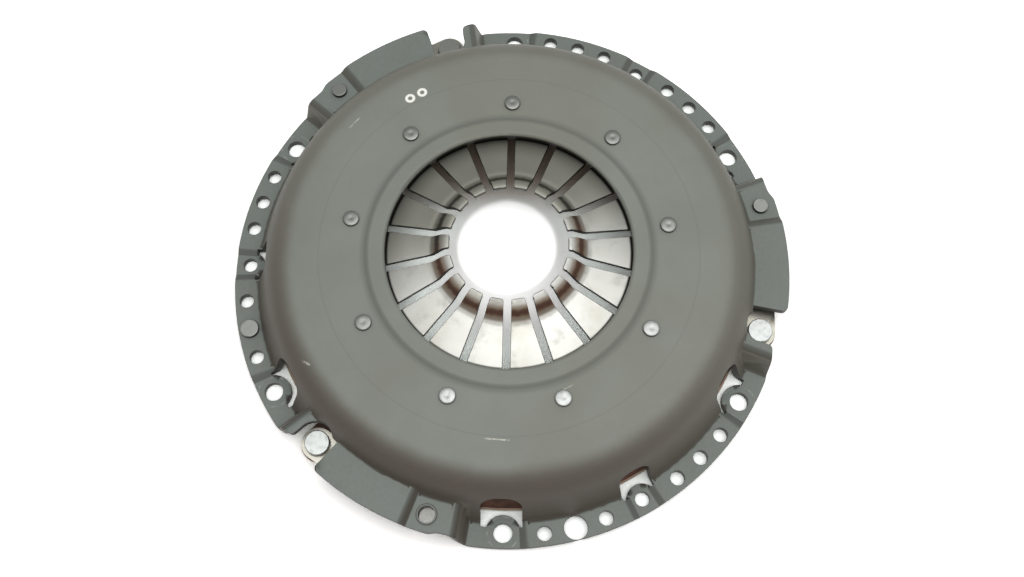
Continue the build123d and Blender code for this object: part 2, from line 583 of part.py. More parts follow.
def make_hollow_rivet():
    """Tubular rivet, rolled over at both ends, that holds the third pack."""
    low = STRAP_PAD_TOP - SHEET - LEAF_COUNT * LEAF_THICKNESS
    section = turned([
        (HOLLOW_RIVET_BORE_RADIUS, low - HOLLOW_RIVET_FLANGE_HEIGHT),
        (HOLLOW_RIVET_FLANGE_RADIUS, low - HOLLOW_RIVET_FLANGE_HEIGHT),
        (HOLLOW_RIVET_FLANGE_RADIUS, low),
        (HOLLOW_RIVET_RADIUS, low),
        (HOLLOW_RIVET_RADIUS, STRAP_PAD_TOP),
        (HOLLOW_RIVET_FLANGE_RADIUS, STRAP_PAD_TOP),
        (HOLLOW_RIVET_FLANGE_RADIUS, STRAP_PAD_TOP + HOLLOW_RIVET_FLANGE_HEIGHT),
        (HOLLOW_RIVET_BORE_RADIUS, STRAP_PAD_TOP + HOLLOW_RIVET_FLANGE_HEIGHT),
    ], {1: RIVET_HEAD_ROUND, 6: RIVET_HEAD_ROUND})
    return upright(STRAP_COVER_RADIUS, HOLLOW_SECTOR + STRAP_COVER_ANGLE) * turn(section)


def make_lug_rivet(strap_angle):
    """Rivet that holds a pack on its lug; its foot is peened flush with the lug's underside."""
    section = turned([
        (0, FRICTION_HEIGHT + LUG_LIFT),
        (LUG_RIVET_RADIUS, FRICTION_HEIGHT + LUG_LIFT),
        (LUG_RIVET_RADIUS, STRAP_LUG_TOP),
        (LUG_RIVET_HEAD_RADIUS, STRAP_LUG_TOP),
        (LUG_RIVET_HEAD_RADIUS, STRAP_LUG_TOP + LUG_RIVET_HEAD_HEIGHT),
        (0, STRAP_LUG_TOP + LUG_RIVET_HEAD_HEIGHT),
    ], {4: RIVET_HEAD_ROUND})
    return upright(STRAP_LUG_RADIUS, strap_angle + STRAP_LUG_ANGLE) * turn(section)


def make_balance_rivet():
    """Rivet that fills one small hole of the flange as a balance weight."""
    under = SEGMENT_TOP - SHEET
    section = turned([
        (0, under - BALANCE_FOOT_HEIGHT),
        (BALANCE_FOOT_RADIUS, under - BALANCE_FOOT_HEIGHT),
        (BALANCE_FOOT_RADIUS, under),
        (SMALL_HOLE_RADIUS - SHANK_CLEARANCE, under),
        (SMALL_HOLE_RADIUS - SHANK_CLEARANCE, SEGMENT_TOP),
        (BALANCE_HEAD_RADIUS, SEGMENT_TOP),
        (BALANCE_HEAD_RADIUS, SEGMENT_TOP + BALANCE_HEAD_HEIGHT),
        (0, SEGMENT_TOP + BALANCE_HEAD_HEIGHT),
    ], {6: RIVET_HEAD_ROUND})
    return upright(SMALL_HOLE_CIRCLE_RADIUS, BALANCE_ANGLE) * turn(section)


# ---------------------------------------------------------------- pressure plate
def make_plate():
    """Cast ring with the friction face, the notched fulcrum for the spring, and three lugs."""
    plate_top = FRICTION_HEIGHT + PLATE_THICKNESS
    rim_top = FRICTION_HEIGHT + PLATE_RIM_HEIGHT
    spring_under = spring_height(FULCRUM_RADIUS) - SPRING_THICKNESS / 2 / cos(radians(SPRING_SLOPE))
    fulcrum_top = spring_under - FULCRUM_GAP - FULCRUM_HALF_WIDTH * tan(radians(SPRING_SLOPE))
    section = turned([
        (FRICTION_INNER_RADIUS, FRICTION_HEIGHT),
        (FRICTION_OUTER_RADIUS, FRICTION_HEIGHT),
        (FRICTION_OUTER_RADIUS, rim_top),
        (FRICTION_OUTER_RADIUS - PLATE_RIM_STEP, rim_top),
        (PLATE_TOP_OUTER_RADIUS, plate_top),
        (FULCRUM_RADIUS + FULCRUM_FOOT_HALF_WIDTH, plate_top),
        (FULCRUM_RADIUS + FULCRUM_HALF_WIDTH, fulcrum_top),
        (FULCRUM_RADIUS - FULCRUM_HALF_WIDTH, fulcrum_top),
        (FULCRUM_RADIUS - FULCRUM_FOOT_HALF_WIDTH, plate_top),
        (FRICTION_INNER_RADIUS, plate_top),
    ], {
        0: PLATE_EDGE_BREAK,
        1: PLATE_EDGE_BREAK,
        4: PLATE_EDGE_ROUND,
        6: FULCRUM_ROUND,
        7: FULCRUM_ROUND,
        9: PLATE_EDGE_ROUND,
    })
    plate = turn(section)
    gaps = []
    for index in range(FULCRUM_GAP_COUNT):
        angle = (index + 0.5) * 360 / FULCRUM_GAP_COUNT
        gap = Pos(0, 0, plate_top) * Box(
            2 * FULCRUM_FOOT_HALF_WIDTH + OVERLAP, FULCRUM_GAP_WIDTH, THROUGH,
            align=(Align.CENTER, Align.CENTER, Align.MIN))
        gaps.append(upright(FULCRUM_RADIUS, angle) * gap)
    plate = plate.cut(*gaps)
    low = FRICTION_HEIGHT + LUG_LIFT
    high = STRAP_LUG_TOP - LEAF_COUNT * LEAF_THICKNESS
    root = PLATE_TOP_OUTER_RADIUS - LUG_RADIUS
    for strap_angle in STRAP_ANGLES:
        angle = strap_angle + STRAP_LUG_ANGLE
        neck = Pos((root + STRAP_LUG_RADIUS) / 2, 0, low) * Box(
            STRAP_LUG_RADIUS - root, 2 * LUG_RADIUS, high - low,
            align=(Align.CENTER, Align.CENTER, Align.MIN))
        plate += Rot(0, 0, angle) * neck
        plate += cylinder(LUG_RADIUS, low, high, upright(STRAP_LUG_RADIUS, angle))
    for strap_angle in STRAP_ANGLES:
        cover_end, lug_end = strap_ends(strap_angle)
        along = lug_end - cover_end
        relief = extrude(SlotCenterToCenter(along.length, LEAF_WIDTH + 2 * STRAP_RELIEF), THROUGH)
        middle = (cover_end + lug_end) / 2
        plate -= Location((middle.X, middle.Y, high), (0, 0, degrees(atan2(along.Y, along.X)))) * relief
        place = upright(STRAP_LUG_RADIUS, strap_angle + STRAP_LUG_ANGLE)
        plate -= cylinder(LUG_RIVET_RADIUS + SHANK_CLEARANCE, 0, THROUGH, place)
    return plate


def write(name, shape):
    """Write one node to its own file."""
    export_step(shape, "parts/" + name + ".step")


def main():
    """Build every piece and write it to its own file."""
    os.makedirs("parts", exist_ok=True)
    write("cover", make_cover())
    write("upper_pivot_ring", make_pivot_ring(1))
    write("lower_pivot_ring", make_pivot_ring(-1))
    write("diaphragm_spring", make_spring())
    write("spring_rivets", make_spring_rivets())
    write("pressure_plate", make_plate())
    write("balance_rivet", make_balance_rivet())
    for number, strap_angle in enumerate(STRAP_ANGLES, 1):
        for index in range(LEAF_COUNT):
            write(f"strap_{number}_leaf_{index + 1}", make_leaf(strap_angle, index))
        write(f"lug_rivet_{number}", make_lug_rivet(strap_angle))
        if strap_angle == HOLLOW_SECTOR:
            write("hollow_strap_rivet", make_hollow_rivet())
        else:
            write(f"cover_strap_rivet_{number}", make_strap_rivet(strap_angle))


if __name__ == "__main__":
    main()
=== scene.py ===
"""Looks of a clutch pressure plate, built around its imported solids.

Lengths are in metres, or in millimetres times MM, and angles are in degrees. Everything stands in the part's
own frame: +Z up along the clutch axis, towards the finger tips, with the mounting face at Z = 0.
"""
import logging
import math
from dataclasses import dataclass, field, replace
from enum import Enum
from typing import Any, Iterable, Mapping, Sequence

import bmesh
import bpy
from mathutils import Matrix, Vector


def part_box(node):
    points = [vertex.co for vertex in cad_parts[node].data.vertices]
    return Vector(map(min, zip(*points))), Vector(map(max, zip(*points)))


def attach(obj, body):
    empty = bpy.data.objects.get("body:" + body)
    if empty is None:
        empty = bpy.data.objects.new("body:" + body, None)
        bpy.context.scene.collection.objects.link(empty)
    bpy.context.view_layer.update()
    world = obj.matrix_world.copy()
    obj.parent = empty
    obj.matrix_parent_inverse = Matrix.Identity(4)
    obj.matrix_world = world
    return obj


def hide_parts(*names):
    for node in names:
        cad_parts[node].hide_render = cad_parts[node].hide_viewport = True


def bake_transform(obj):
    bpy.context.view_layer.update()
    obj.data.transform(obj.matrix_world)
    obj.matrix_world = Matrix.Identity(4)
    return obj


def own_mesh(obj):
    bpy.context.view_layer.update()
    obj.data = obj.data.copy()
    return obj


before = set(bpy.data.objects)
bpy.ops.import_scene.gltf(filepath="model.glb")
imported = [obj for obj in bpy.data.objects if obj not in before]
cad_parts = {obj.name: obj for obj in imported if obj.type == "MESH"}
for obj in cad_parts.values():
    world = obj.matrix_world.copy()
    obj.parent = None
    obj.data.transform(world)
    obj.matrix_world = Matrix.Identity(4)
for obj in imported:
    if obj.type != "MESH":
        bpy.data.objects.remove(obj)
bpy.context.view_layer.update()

MM = 0.001
WELD = 0.002 * MM              # corners nearer than this are one corner
AREA_WEIGHT = 80               # how much a large face turns the normals beside it
BEVEL_SAMPLES = 6              # rays with which a finish feels for an edge
LOG = logging.getLogger("clutch")
Colour = tuple[float, float, float]

COVER_BODY = "cover"
PLATE_BODY = "pressure_plate"

STRAP_ANGLES = (0.0, 120.0, 240.0)
LEAF_COUNT = 3


def linear(red: int, green: int, blue: int) -> Colour:
    """Colour for a shader.

    Args:
        red, green, blue: The colour as a display shows it, 0 to 255.

    Returns:
        The same colour in linear light.
    """
    def channel(value: int) -> float:
        """One of the three numbers in linear light."""
        share = value / 255
        return share / 12.92 if share <= 0.04045 else ((share + 0.055) / 1.055) ** 2.4
    return channel(red), channel(green), channel(blue)


def polar(radius: float, angle: float, height: float = 0.0) -> Vector:
    """Point at a radius, an angle in degrees and a height."""
    return Vector((radius * math.cos(math.radians(angle)), radius * math.sin(math.radians(angle)), height))


# ------------------------------------------------------------------------------------------ shader maths
@dataclass(frozen=True)
class Noise:
    """A noise texture of about 0 to 1."""

    scale: float               # cycles a metre, before any stretch
    detail: float
    roughness: float


@dataclass(frozen=True)
class Fade:
    """A smooth step between two values of a channel. The end may be the lower of the two."""

    start: float
    end: float
    share: float = 1.0         # what the step reaches at its end


@dataclass(frozen=True)
class Band:
    """A stretch of a channel's values with soft edges."""

    low: float
    high: float
    soft: float
    share: float = 1.0         # what the band reaches inside


class Channel:
    """One output of a shader node, on which Python's operators add Math nodes."""

    def __init__(self, kit: "NodeKit", socket: bpy.types.NodeSocket) -> None:
        self.kit = kit
        self.socket = socket

    def __add__(self, other: Any) -> "Channel":
        """Sum."""
        return self.kit.maths("ADD", self, other)

    def __radd__(self, other: Any) -> "Channel":
        """Sum, with the number first."""
        return self.kit.maths("ADD", other, self)

    def __sub__(self, other: Any) -> "Channel":
        """Difference."""
        return self.kit.maths("SUBTRACT", self, other)

    def __rsub__(self, other: Any) -> "Channel":
        """Difference, with the number first."""
        return self.kit.maths("SUBTRACT", other, self)

    def __mul__(self, other: Any) -> "Channel":
        """Product."""
        return self.kit.maths("MULTIPLY", self, other)

    def __rmul__(self, other: Any) -> "Channel":
        """Product, with the number first."""
        return self.kit.maths("MULTIPLY", other, self)

    def __truediv__(self, other: Any) -> "Channel":
        """Quotient."""
        return self.kit.maths("DIVIDE", self, other)

    def __abs__(self) -> "Channel":
        """Size without its sign."""
        return self.kit.maths("ABSOLUTE", self)

    def sqrt(self) -> "Channel":
        """Square root."""
        return self.kit.maths("SQRT", self)

    def highest(self, other: Any) -> "Channel":
        """The larger of two values."""
        return self.kit.maths("MAXIMUM", self, other)

    def step(self, start: float, end: float) -> "Channel":
        """Smooth step.

        Args:
            start: Value at which the result is 0.
            end: Value at which it is 1. It may be the lower of the two.

        Returns:
            A value from 0 to 1.
        """
        return self.kit.node(
            "ShaderNodeMapRange", {"interpolation_type": "SMOOTHSTEP", "clamp": True},
            {"Value": self, "From Min": start, "From Max": end, "To Min": 0.0, "To Max": 1.0})

    def fade(self, fade: Fade) -> "Channel":
        """Smooth step with its named limits and share."""
        mask = self.step(fade.start, fade.end)
        return mask if fade.share == 1.0 else mask * fade.share

    def band(self, low: float, high: float, soft: float) -> "Channel":
        """Mask that is 1 between two values and fades out over a soft edge."""
        return self.step(low - soft, low + soft) * self.step(high + soft, high - soft)

    def within(self, band: Band) -> "Channel":
        """Mask of a band with its named limits and share."""
        mask = self.band(band.low, band.high, band.soft)
        return mask if band.share == 1.0 else mask * band.share


class NodeKit:
    """A node tree and the few ways in which its nodes are made."""

    def __init__(self, name: str, tree: bpy.types.NodeTree | None = None) -> None:
        """Start an empty material of that name, or clear the tree that is given.

        Args:
            name: Name of the material.
            tree: A tree to fill instead, such as a world's.
        """
        self.material = None if tree else bpy.data.materials.new(name)
        if self.material:
            self.material.use_nodes = True
        self.tree = tree or self.material.node_tree
        self.tree.nodes.clear()

    def node(self, kind: str, settings: Mapping[str, Any] | None = None,
             sockets: Mapping[Any, Any] | None = None, output: Any = 0) -> Channel:
        """Add a node.

        Args:
            kind: The node's type.
            settings: Its properties.
            sockets: Values or channels for its inputs, by name or number.
            output: The output that is wanted, by name or number.

        Returns:
            That output.
        """
        node = self.tree.nodes.new(kind)
        for name, value in (settings or {}).items():
            setattr(node, name, value)
        for name, value in (sockets or {}).items():
            if isinstance(value, Channel):
                self.tree.links.new(value.socket, node.inputs[name])
            else:
                node.inputs[name].default_value = self._fitted(node.inputs[name], value)
        return Channel(self, node.outputs[output])

    @staticmethod
    def _fitted(socket: bpy.types.NodeSocket, value: Any) -> Any:
        """A colour of three numbers gets its alpha where the socket wants four.

        Args:
            socket: The input that takes the value.
            value: A number or a tuple of numbers.

        Returns:
            The value, with an alpha of 1 where one is missing.
        """
        if socket.type == "RGBA" and len(value) == 3:
            return (*value, 1.0)
        return value

    def maths(self, operation: str, first: Any, second: Any = None) -> Channel:
        """Math node on one or two operands.

        Args:
            operation: The node's operation.
            first, second: Channels or numbers.

        Returns:
            The node's result.
        """
        operands = {0: first} if second is None else {0: first, 1: second}
        return self.node("ShaderNodeMath", {"operation": operation}, operands)

    def place(self, coordinates: str = "Object") -> Channel:
        """Object coordinates, which are the part's own frame, or others by name."""
        return self.node("ShaderNodeTexCoord", output=coordinates)

    def axes(self, coordinates: str = "Object") -> tuple[Channel, Channel, Channel]:
        """X, Y and Z of the coordinates.

        Args:
            coordinates: The coordinates' name, as in place.

        Returns:
            Three channels.
        """
        source = self.node("ShaderNodeSeparateXYZ", sockets={0: self.place(coordinates)})
        node = source.socket.node
        return tuple(Channel(self, node.outputs[index]) for index in range(3))

    def upward(self) -> Channel:
        """How far a face looks up: 1 on a flat, 0 on an upright wall."""
        return self.axes("Normal")[2]

    def rounded(self, radius: float) -> Channel:
        """The same for a surface whose edges are rounded to a radius.

        Args:
            radius: The radius, in metres.

        Returns:
            A channel like that of upward.
        """
        bevel = self.node("ShaderNodeBevel", {"samples": BEVEL_SAMPLES}, {"Radius": radius})
        source = self.node("ShaderNodeSeparateXYZ", sockets={0: bevel})
        return Channel(self, source.socket.node.outputs[2])

    def noise(self, noise: Noise, vector: Channel | None = None) -> Channel:
        """Noise texture, on Object coordinates unless others are given.

        Args:
            noise: The texture's numbers.
            vector: Other coordinates, such as those of stretched.

        Returns:
            A value of about 0 to 1.
        """
        return self.node(
            "ShaderNodeTexNoise", {"noise_dimensions": "3D"},
            {"Vector": vector or self.place(), "Scale": noise.scale, "Detail": noise.detail,
             "Roughness": noise.roughness})

    def stretched(self, scale: Sequence[float]) -> Channel:
        """Object coordinates scaled along each axis."""
        return self.node("ShaderNodeMapping", sockets={"Vector": self.place(), "Scale": scale})

    def mix(self, factor: Any, first: Any, second: Any) -> Channel:
        """Blend of two colours."""
        return self.node(
            "ShaderNodeMix", {"data_type": "RGBA"}, {"Factor": factor, 6: first, 7: second}, output=2)

    def bump(self, height: Channel, distance: float, strength: float) -> Channel:
        """Normal bent by a height."""
        return self.node(
            "ShaderNodeBump", sockets={"Height": height, "Distance": distance, "Strength": strength})

    def finish(self, sockets: Mapping[str, Any]) -> bpy.types.Material:
        """End the material in a Principled shader with these inputs."""
        self.end_in(self.node("ShaderNodeBsdfPrincipled", sockets=sockets))
        return self.material

    def end_in(self, shader: Channel, output: str = "ShaderNodeOutputMaterial") -> None:
        """Join a shader to the tree's output node."""
        end = self.tree.nodes.new(output)
        self.tree.links.new(shader.socket, end.inputs["Surface"])


def highest_of(channels: Iterable[Channel]) -> Channel:
    """The largest of several channels.

    Args:
        channels: One channel or more.

    Returns:
        The largest at each point.
    """
    first, *others = channels
    for other in others:
        first = first.highest(other)
    return first


def distance_from(dx: Channel, dy: Channel) -> Channel:
    """Distance in plan from where both offsets are 0."""
    return (dx * dx + dy * dy).sqrt()


# ------------------------------------------------------------------------------------------ finishes
@dataclass(frozen=True)
class RubMark:
    """A light mark rubbed into the coat."""

    radius: float              # of its middle, from the clutch axis
    angle: float               # of its middle
    length: float
    width: float
    heading: float             # of its long side, in degrees from +X

    def mask(self, x: Channel, y: Channel) -> Channel:
        """Mask of the mark, soft at its ends and sides.

        Args:
            x, y: Place in plan.

        Returns:
            A value from 0 to 1.
        """
        middle = polar(self.radius, self.angle)
        turn = math.radians(self.heading)
        along = (x - middle.x) * math.cos(turn) + (y - middle.y) * math.sin(turn)
        across = (y - middle.y) * math.cos(turn) - (x - middle.x) * math.sin(turn)
        inside = abs(along).step(self.length / 2, self.length / 4)
        return inside * abs(across).step(self.width, self.width * 0.3)


@dataclass(frozen=True)
class PaintedRing:
    """A small ring of white marking paint."""

    radius: float              # of its middle, from the clutch axis
    angle: float               # of its middle
    outer: float = 2.55 * MM
    inner: float = 1.15 * MM
    soft: float = 0.22 * MM

    def mask(self, x: Channel, y: Channel) -> Channel:
        """Mask of the ring."""
        middle = polar(self.radius, self.angle)
        return distance_from(x - middle.x, y - middle.y).band(self.inner, self.outer, self.soft)


@dataclass(frozen=True)
class PhosphateCoat:
    """Matte grey-green phosphate coat of the pressed cover."""

    base: Colour = linear(125, 129, 122)
    warm: Colour = linear(122, 118, 102)
    dark: Colour = linear(100, 103, 97)
    # painted shade: the next two colours darken the wall, the second browner and deeper for the near side
    wall: Colour = linear(100, 98, 89)
    stained_and_shaded: Colour = linear(82, 74, 67)
    flange: Colour = linear(112, 119, 114)
    # painted shade for the flange's folds, a line along the rims of its flats and the upright cut faces
    edge_shade: Colour = linear(50, 50, 46)
    rubbed: Colour = linear(196, 196, 184)
    paint: Colour = linear(238, 238, 232)
    roughness: float = 0.5
    cloud_roughness: float = 0.1       # added where the clouds are thick
    rub_polish: float = 0.15           # taken off where the coat is rubbed
    specular: float = 0.4
    clouds: Noise = Noise(26.0, 5.0, 0.6)
    cloudy: Fade = Fade(0.3, 0.72, 0.25)
    warmth: Noise = Noise(14.0, 3.0, 0.5)
    warmed: Fade = Fade(0.45, 0.75, 0.3)
    grain: Noise = Noise(1500.0, 3.0, 0.6)
    grainy: Fade = Fade(0.35, 0.7, 0.12)
    grain_height: float = 0.03 * MM
    grain_strength: float = 0.5
    wall_wobble: float = 5.0 * MM      # how far the clouds push the wall's colour in and out
    shoulder: Fade = Fade(103.0 * MM, 114.0 * MM)
    wall_share: float = 0.75
    # the painted shade on the wall is deepest and brownest on the side at this angle
    shade_angle: float = -112.0        # the side on which the wall is brownest
    stain_and_shade: Fade = Fade(-0.35, 1.0, 0.85)
    flat: Fade = Fade(0.8, 0.97)       # how far a face looks up where it counts as a flat
    flange_start: Fade = Fade(112.0 * MM, 116.0 * MM)
    speckle: Noise = Noise(520.0, 3.0, 0.6)
    speckled: Fade = Fade(0.35, 0.7, 0.25)
    flange_clouds: Fade = Fade(0.4, 0.7, 0.25)
    # painted shade in the crease at the plateau's edge and in the groove inside it
    plateau_edge: Band = Band(91.4 * MM, 92.0 * MM, 0.3 * MM, 0.3)
    groove: Band = Band(68.3 * MM, 71.2 * MM, 1.6 * MM, 0.8)
    # painted shade in the flange's folds
    fold: Band = Band(0.62, 0.965, 0.03, 0.45)                 # by how far a face looks up
    fold_start: Fade = Fade(120.0 * MM, 121.0 * MM)
    # painted shade along the rims of the flats
    rim: Fade = Fade(0.9, 0.97)
    rim_round: float = 0.7 * MM        # radius within which an edge is felt
    rim_line: Fade = Fade(0.985, 0.80, 0.6)
    # painted shade on upright cut faces, hole walls and the opening's edge
    cut: Fade = Fade(0.30, 0.16, 0.85)
    bolt_circle: float = 131.0 * MM
    bolt_spacing: float = 60.0
    washer: Band = Band(7.2 * MM, 7.8 * MM, 0.3 * MM)
    washer_breakup: Noise = Noise(260.0, 3.0, 0.6)
    washer_worn: Fade = Fade(0.45, 0.7, 0.4)
    washer_flat: Fade = Fade(0.9, 0.98)
    mark_breakup: Noise = Noise(900.0, 2.0, 0.6)
    mark_worn: Fade = Fade(0.35, 0.62, 0.8)
    marks: tuple[RubMark, ...] = (
        RubMark(93 * MM, -92.0, 14 * MM, 0.5 * MM, -3.0),
        RubMark(110 * MM, -148.0, 6 * MM, 0.7 * MM, -28.0),
        RubMark(74 * MM, -68.0, 9 * MM, 0.35 * MM, 28.0),
        RubMark(103 * MM, 140.0, 9 * MM, 0.45 * MM, 50.0),
    )
    ring_height: Fade = Fade(32.5 * MM, 33.0 * MM)             # the paint is on the upper side alone
    rings: tuple[PaintedRing, ...] = (
        PaintedRing(95.3 * MM, 122.8),
        PaintedRing(95.3 * MM, 118.7),
    )

    def build(self) -> bpy.types.Material:
        """Material with clouds, grain, painted shade on the wall, rub marks and the painted rings.

        Returns:
            The cover's finish.
        """
        kit = NodeKit("phosphate_coat")
        x, y, z = kit.axes()
        radius = distance_from(x, y)
        clouds = kit.noise(self.clouds)
        grain = kit.noise(self.grain)
        colour = kit.mix(clouds.fade(self.cloudy), self.base, self.dark)
        colour = kit.mix(kit.noise(self.warmth).fade(self.warmed), colour, self.warm)
        # painted shade on the wall
        colour = self._wall(kit, colour, (x, y), radius, clouds)
        colour = self._flange(kit, colour, radius, clouds)
        # painted shade in the pressed creases
        pressed = radius.within(self.plateau_edge) + radius.within(self.groove)
        colour = kit.mix(pressed, colour, self.dark)
        colour = kit.mix(grain.fade(self.grainy), colour, self.dark)
        colour = self._edge_lines(kit, colour, radius)
        rubbed = self._rubbed(kit, x, y, radius)
        colour = kit.mix(rubbed, colour, self.rubbed)
        painted = highest_of(ring.mask(x, y) for ring in self.rings) * z.fade(self.ring_height)
        colour = kit.mix(painted, colour, self.paint)
        # painted shade on the upright cut faces
        colour = kit.mix(kit.upward().fade(self.cut), colour, self.edge_shade)
        return kit.finish({
            "Base Color": colour, "Metallic": 0.0, "Specular IOR Level": self.specular,
            "Roughness": self.roughness + clouds * self.cloud_roughness - rubbed * self.rub_polish,
            "Normal": kit.bump(grain, self.grain_height, self.grain_strength)})

    def _wall(self, kit: NodeKit, colour: Channel, plan: tuple[Channel, Channel], radius: Channel,
              clouds: Channel) -> Channel:
        """Colour with painted shade on the wall, deeper and browner on the near side.

        Args:
            kit: The material's kit.
            colour: The colour so far.
            plan: X and Y.
            radius: Distance from the clutch axis.
            clouds: The coat's large mottle.

        Returns:
            The new colour.
        """
        x, y = plan
        turn = math.radians(self.shade_angle)
        # painted shade on the wall past the shoulder, deeper and browner on the near side
        wall = (radius + (clouds - 0.5) * self.wall_wobble).fade(self.shoulder)
        facing = (x * math.cos(turn) + y * math.sin(turn)) / radius
        colour = kit.mix(wall * self.wall_share, colour, self.wall)
        return kit.mix(wall * facing.fade(self.stain_and_shade), colour, self.stained_and_shaded)

    def _flange(self, kit: NodeKit, colour: Channel, radius: Channel, clouds: Channel) -> Channel:
        """Colour with the cooler, speckled flats of the flange.

        Args:
            kit: The material's kit.
            colour: The colour so far.
            radius: Distance from the clutch axis.
            clouds: The coat's large mottle.

        Returns:
            The new colour.
        """
        flats = kit.upward().fade(self.flat) * radius.fade(self.flange_start)
        mottle = kit.noise(self.speckle).fade(self.speckled) + clouds.fade(self.flange_clouds)
        return kit.mix(flats, colour, kit.mix(mottle, self.flange, self.dark))

    def _edge_lines(self, kit: NodeKit, colour: Channel, radius: Channel) -> Channel:
        """Colour with painted shade in the folds of the flange and a painted shade line along the rim of its
        flats.

        Args:
            kit: The material's kit.
            colour: The colour so far.
            radius: Distance from the clutch axis.

        Returns:
            The new colour.
        """
        upward = kit.upward()
        fold = upward.within(self.fold) * radius.fade(self.fold_start)
        colour = kit.mix(fold, colour, self.edge_shade)
        rim = upward.fade(self.rim) * kit.rounded(self.rim_round).fade(self.rim_line)
        return kit.mix(rim, colour, self.edge_shade)

    def _rubbed(self, kit: NodeKit, x: Channel, y: Channel, radius: Channel) -> Channel:
        """Mask of the rub marks, and of the faint rings that washers left round the bolt holes.

        Args:
            kit: The material's kit.
            x, y: Place in plan.
            radius: Distance from the clutch axis.

        Returns:
            A value from 0 to 1.
        """
        marks = highest_of(mark.mask(x, y) for mark in self.marks)
        marks = marks * kit.noise(self.mark_breakup).fade(self.mark_worn)
        spacing = math.radians(self.bolt_spacing)
        turn = kit.maths("FLOORED_MODULO", kit.maths("ARCTAN2", y, x), spacing) - spacing / 2
        along = kit.maths("COSINE", turn) * radius - self.bolt_circle
        across = kit.maths("SINE", turn) * radius
        washers = distance_from(along, across).within(self.washer)
        washers = washers * kit.noise(self.washer_breakup).fade(self.washer_worn)
        return marks.highest(washers * kit.upward().fade(self.washer_flat))


@dataclass(frozen=True)
class SpringSteel:
    """Satin spring steel with a brown temper band at the fingers' kink and painted shade near the cover's
    lip.
    """

    bright: Colour = (0.42, 0.42, 0.395)
    straw: Colour = (0.37, 0.345, 0.26)
    tan: Colour = (0.36, 0.26, 0.18)
    temper: Colour = (0.13, 0.072, 0.055)
    # painted shade: the far side of the spring is darker, and so is its temper band there
    far_side: Colour = (0.265, 0.265, 0.225)
    far_temper_shade: Colour = (0.05, 0.048, 0.04)
    # colour of oil stains, and of the painted shade near the cover's lip
    oil_and_shade: Colour = (0.15, 0.15, 0.13)
    # painted shade on the fingers' upright sides, in a band under the cover's lip and on the tips' ends
    edge: Colour = (0.018, 0.017, 0.015)
    clouds: Noise = Noise(42.0, 4.0, 0.6)
    strawed: Fade = Fade(0.5, 0.75, 0.3)
    stains: Noise = Noise(95.0, 4.0, 0.6)
    stained_and_shaded: Fade = Fade(0.52, 0.78, 0.3)
    peen: Noise = Noise(1400.0, 2.0, 0.5)
    peen_height: float = 0.010 * MM
    peen_strength: float = 0.6
    lean: float = 0.25                 # how far the side with painted shade leans from +Y towards -X
    far_shade: Fade = Fade(-0.15, 0.55, 0.8)
    # painted shade on the fingers near the cover's lip, deepest on the far side
    lip: Fade = Fade(47.0 * MM, 59.0 * MM)
    lip_side: Fade = Fade(-0.5, 0.8, 0.8)
    lip_least: float = 0.1             # share of the painted shade on the near side
    streaks: Noise = Noise(1.0, 3.0, 0.6)
    streak_stretch: tuple[float, float, float] = (420.0, 420.0, 60.0)
    streak_reach: float = 1.6 * MM     # how far they push the temper band in and out
    temper_middle: float = 34.6 * MM
    temper_side: Fade = Fade(-0.1, 0.4)
    tanned: Fade = Fade(4.2 * MM, 0.35 * MM, 0.9)              # by the distance from that middle
    tempered: Fade = Fade(2.0 * MM, 0.35 * MM, 0.92)
    # painted shade on upright sides, under the lip and at the tips
    side_face: Fade = Fade(0.6, 0.4)
    under_lip: Fade = Fade(58.2 * MM, 59.2 * MM)
    edge_share: float = 0.95
    tip: Fade = Fade(28.9 * MM, 28.5 * MM, 0.75)
    roughness: float = 0.38
    cloud_roughness: float = 0.16
    stain_scale: Fade = Fade(0.5, 0.8, 0.08)
    temper_scale: Fade = Fade(6.0 * MM, 4.2 * MM, 0.2)         # rougher scale round the temper band

    def build(self) -> bpy.types.Material:
        """Material of the diaphragm spring.

        Returns:
            The spring's finish.
        """
        kit = NodeKit("spring_steel")
        x, y, _ = kit.axes()
        radius = distance_from(x, y)
        side = y / radius - x / radius * self.lean
        clouds = kit.noise(self.clouds)
        stains = kit.noise(self.stains)
        streaks = kit.noise(self.streaks, kit.stretched(self.streak_stretch))
        offset = abs(radius + (streaks - 0.5) * self.streak_reach - self.temper_middle)
        colour = kit.mix(clouds.fade(self.strawed), self.bright, self.straw)
        colour = kit.mix(stains.fade(self.stained_and_shaded), colour, self.oil_and_shade)
        # painted shade on the far side
        colour = kit.mix(side.fade(self.far_shade), colour, self.far_side)
        # painted shade near the cover's lip
        lip = radius.fade(self.lip) * (side.fade(self.lip_side) + self.lip_least)
        colour = kit.mix(lip, colour, self.oil_and_shade)
        colour = self._temper(kit, colour, offset, side)
        # painted shade on the fingers' sides, under the lip and on the tips' ends
        sides = kit.upward().fade(self.side_face).highest(radius.fade(self.under_lip))
        colour = kit.mix(sides * self.edge_share, colour, self.edge)
        colour = kit.mix(radius.fade(self.tip), colour, self.edge)
        roughness = self.roughness + (clouds - 0.5) * self.cloud_roughness
        roughness = roughness + stains.fade(self.stain_scale) + offset.fade(self.temper_scale)
        return kit.finish({
            "Base Color": colour, "Metallic": 1.0, "Roughness": roughness,
            "Normal": kit.bump(kit.noise(self.peen), self.peen_height, self.peen_strength)})

    def _temper(self, kit: NodeKit, colour: Channel, offset: Channel, side: Channel) -> Channel:
        """Colour with the temper band: a dark line between two tan ones, with painted shade making it greyer
        on the far side.

        Args:
            kit: The material's kit.
            colour: The colour so far.
            offset: Distance from the middle of the band.
            side: From -1 on the near side to 1 on the far side.

        Returns:
            The new colour.
        """
        far = side.fade(self.temper_side)
        colour = kit.mix(offset.fade(self.tanned), colour, kit.mix(far, self.tan, self.far_side))
        return kit.mix(offset.fade(self.tempered), colour, kit.mix(far, self.temper, self.far_temper_shade))


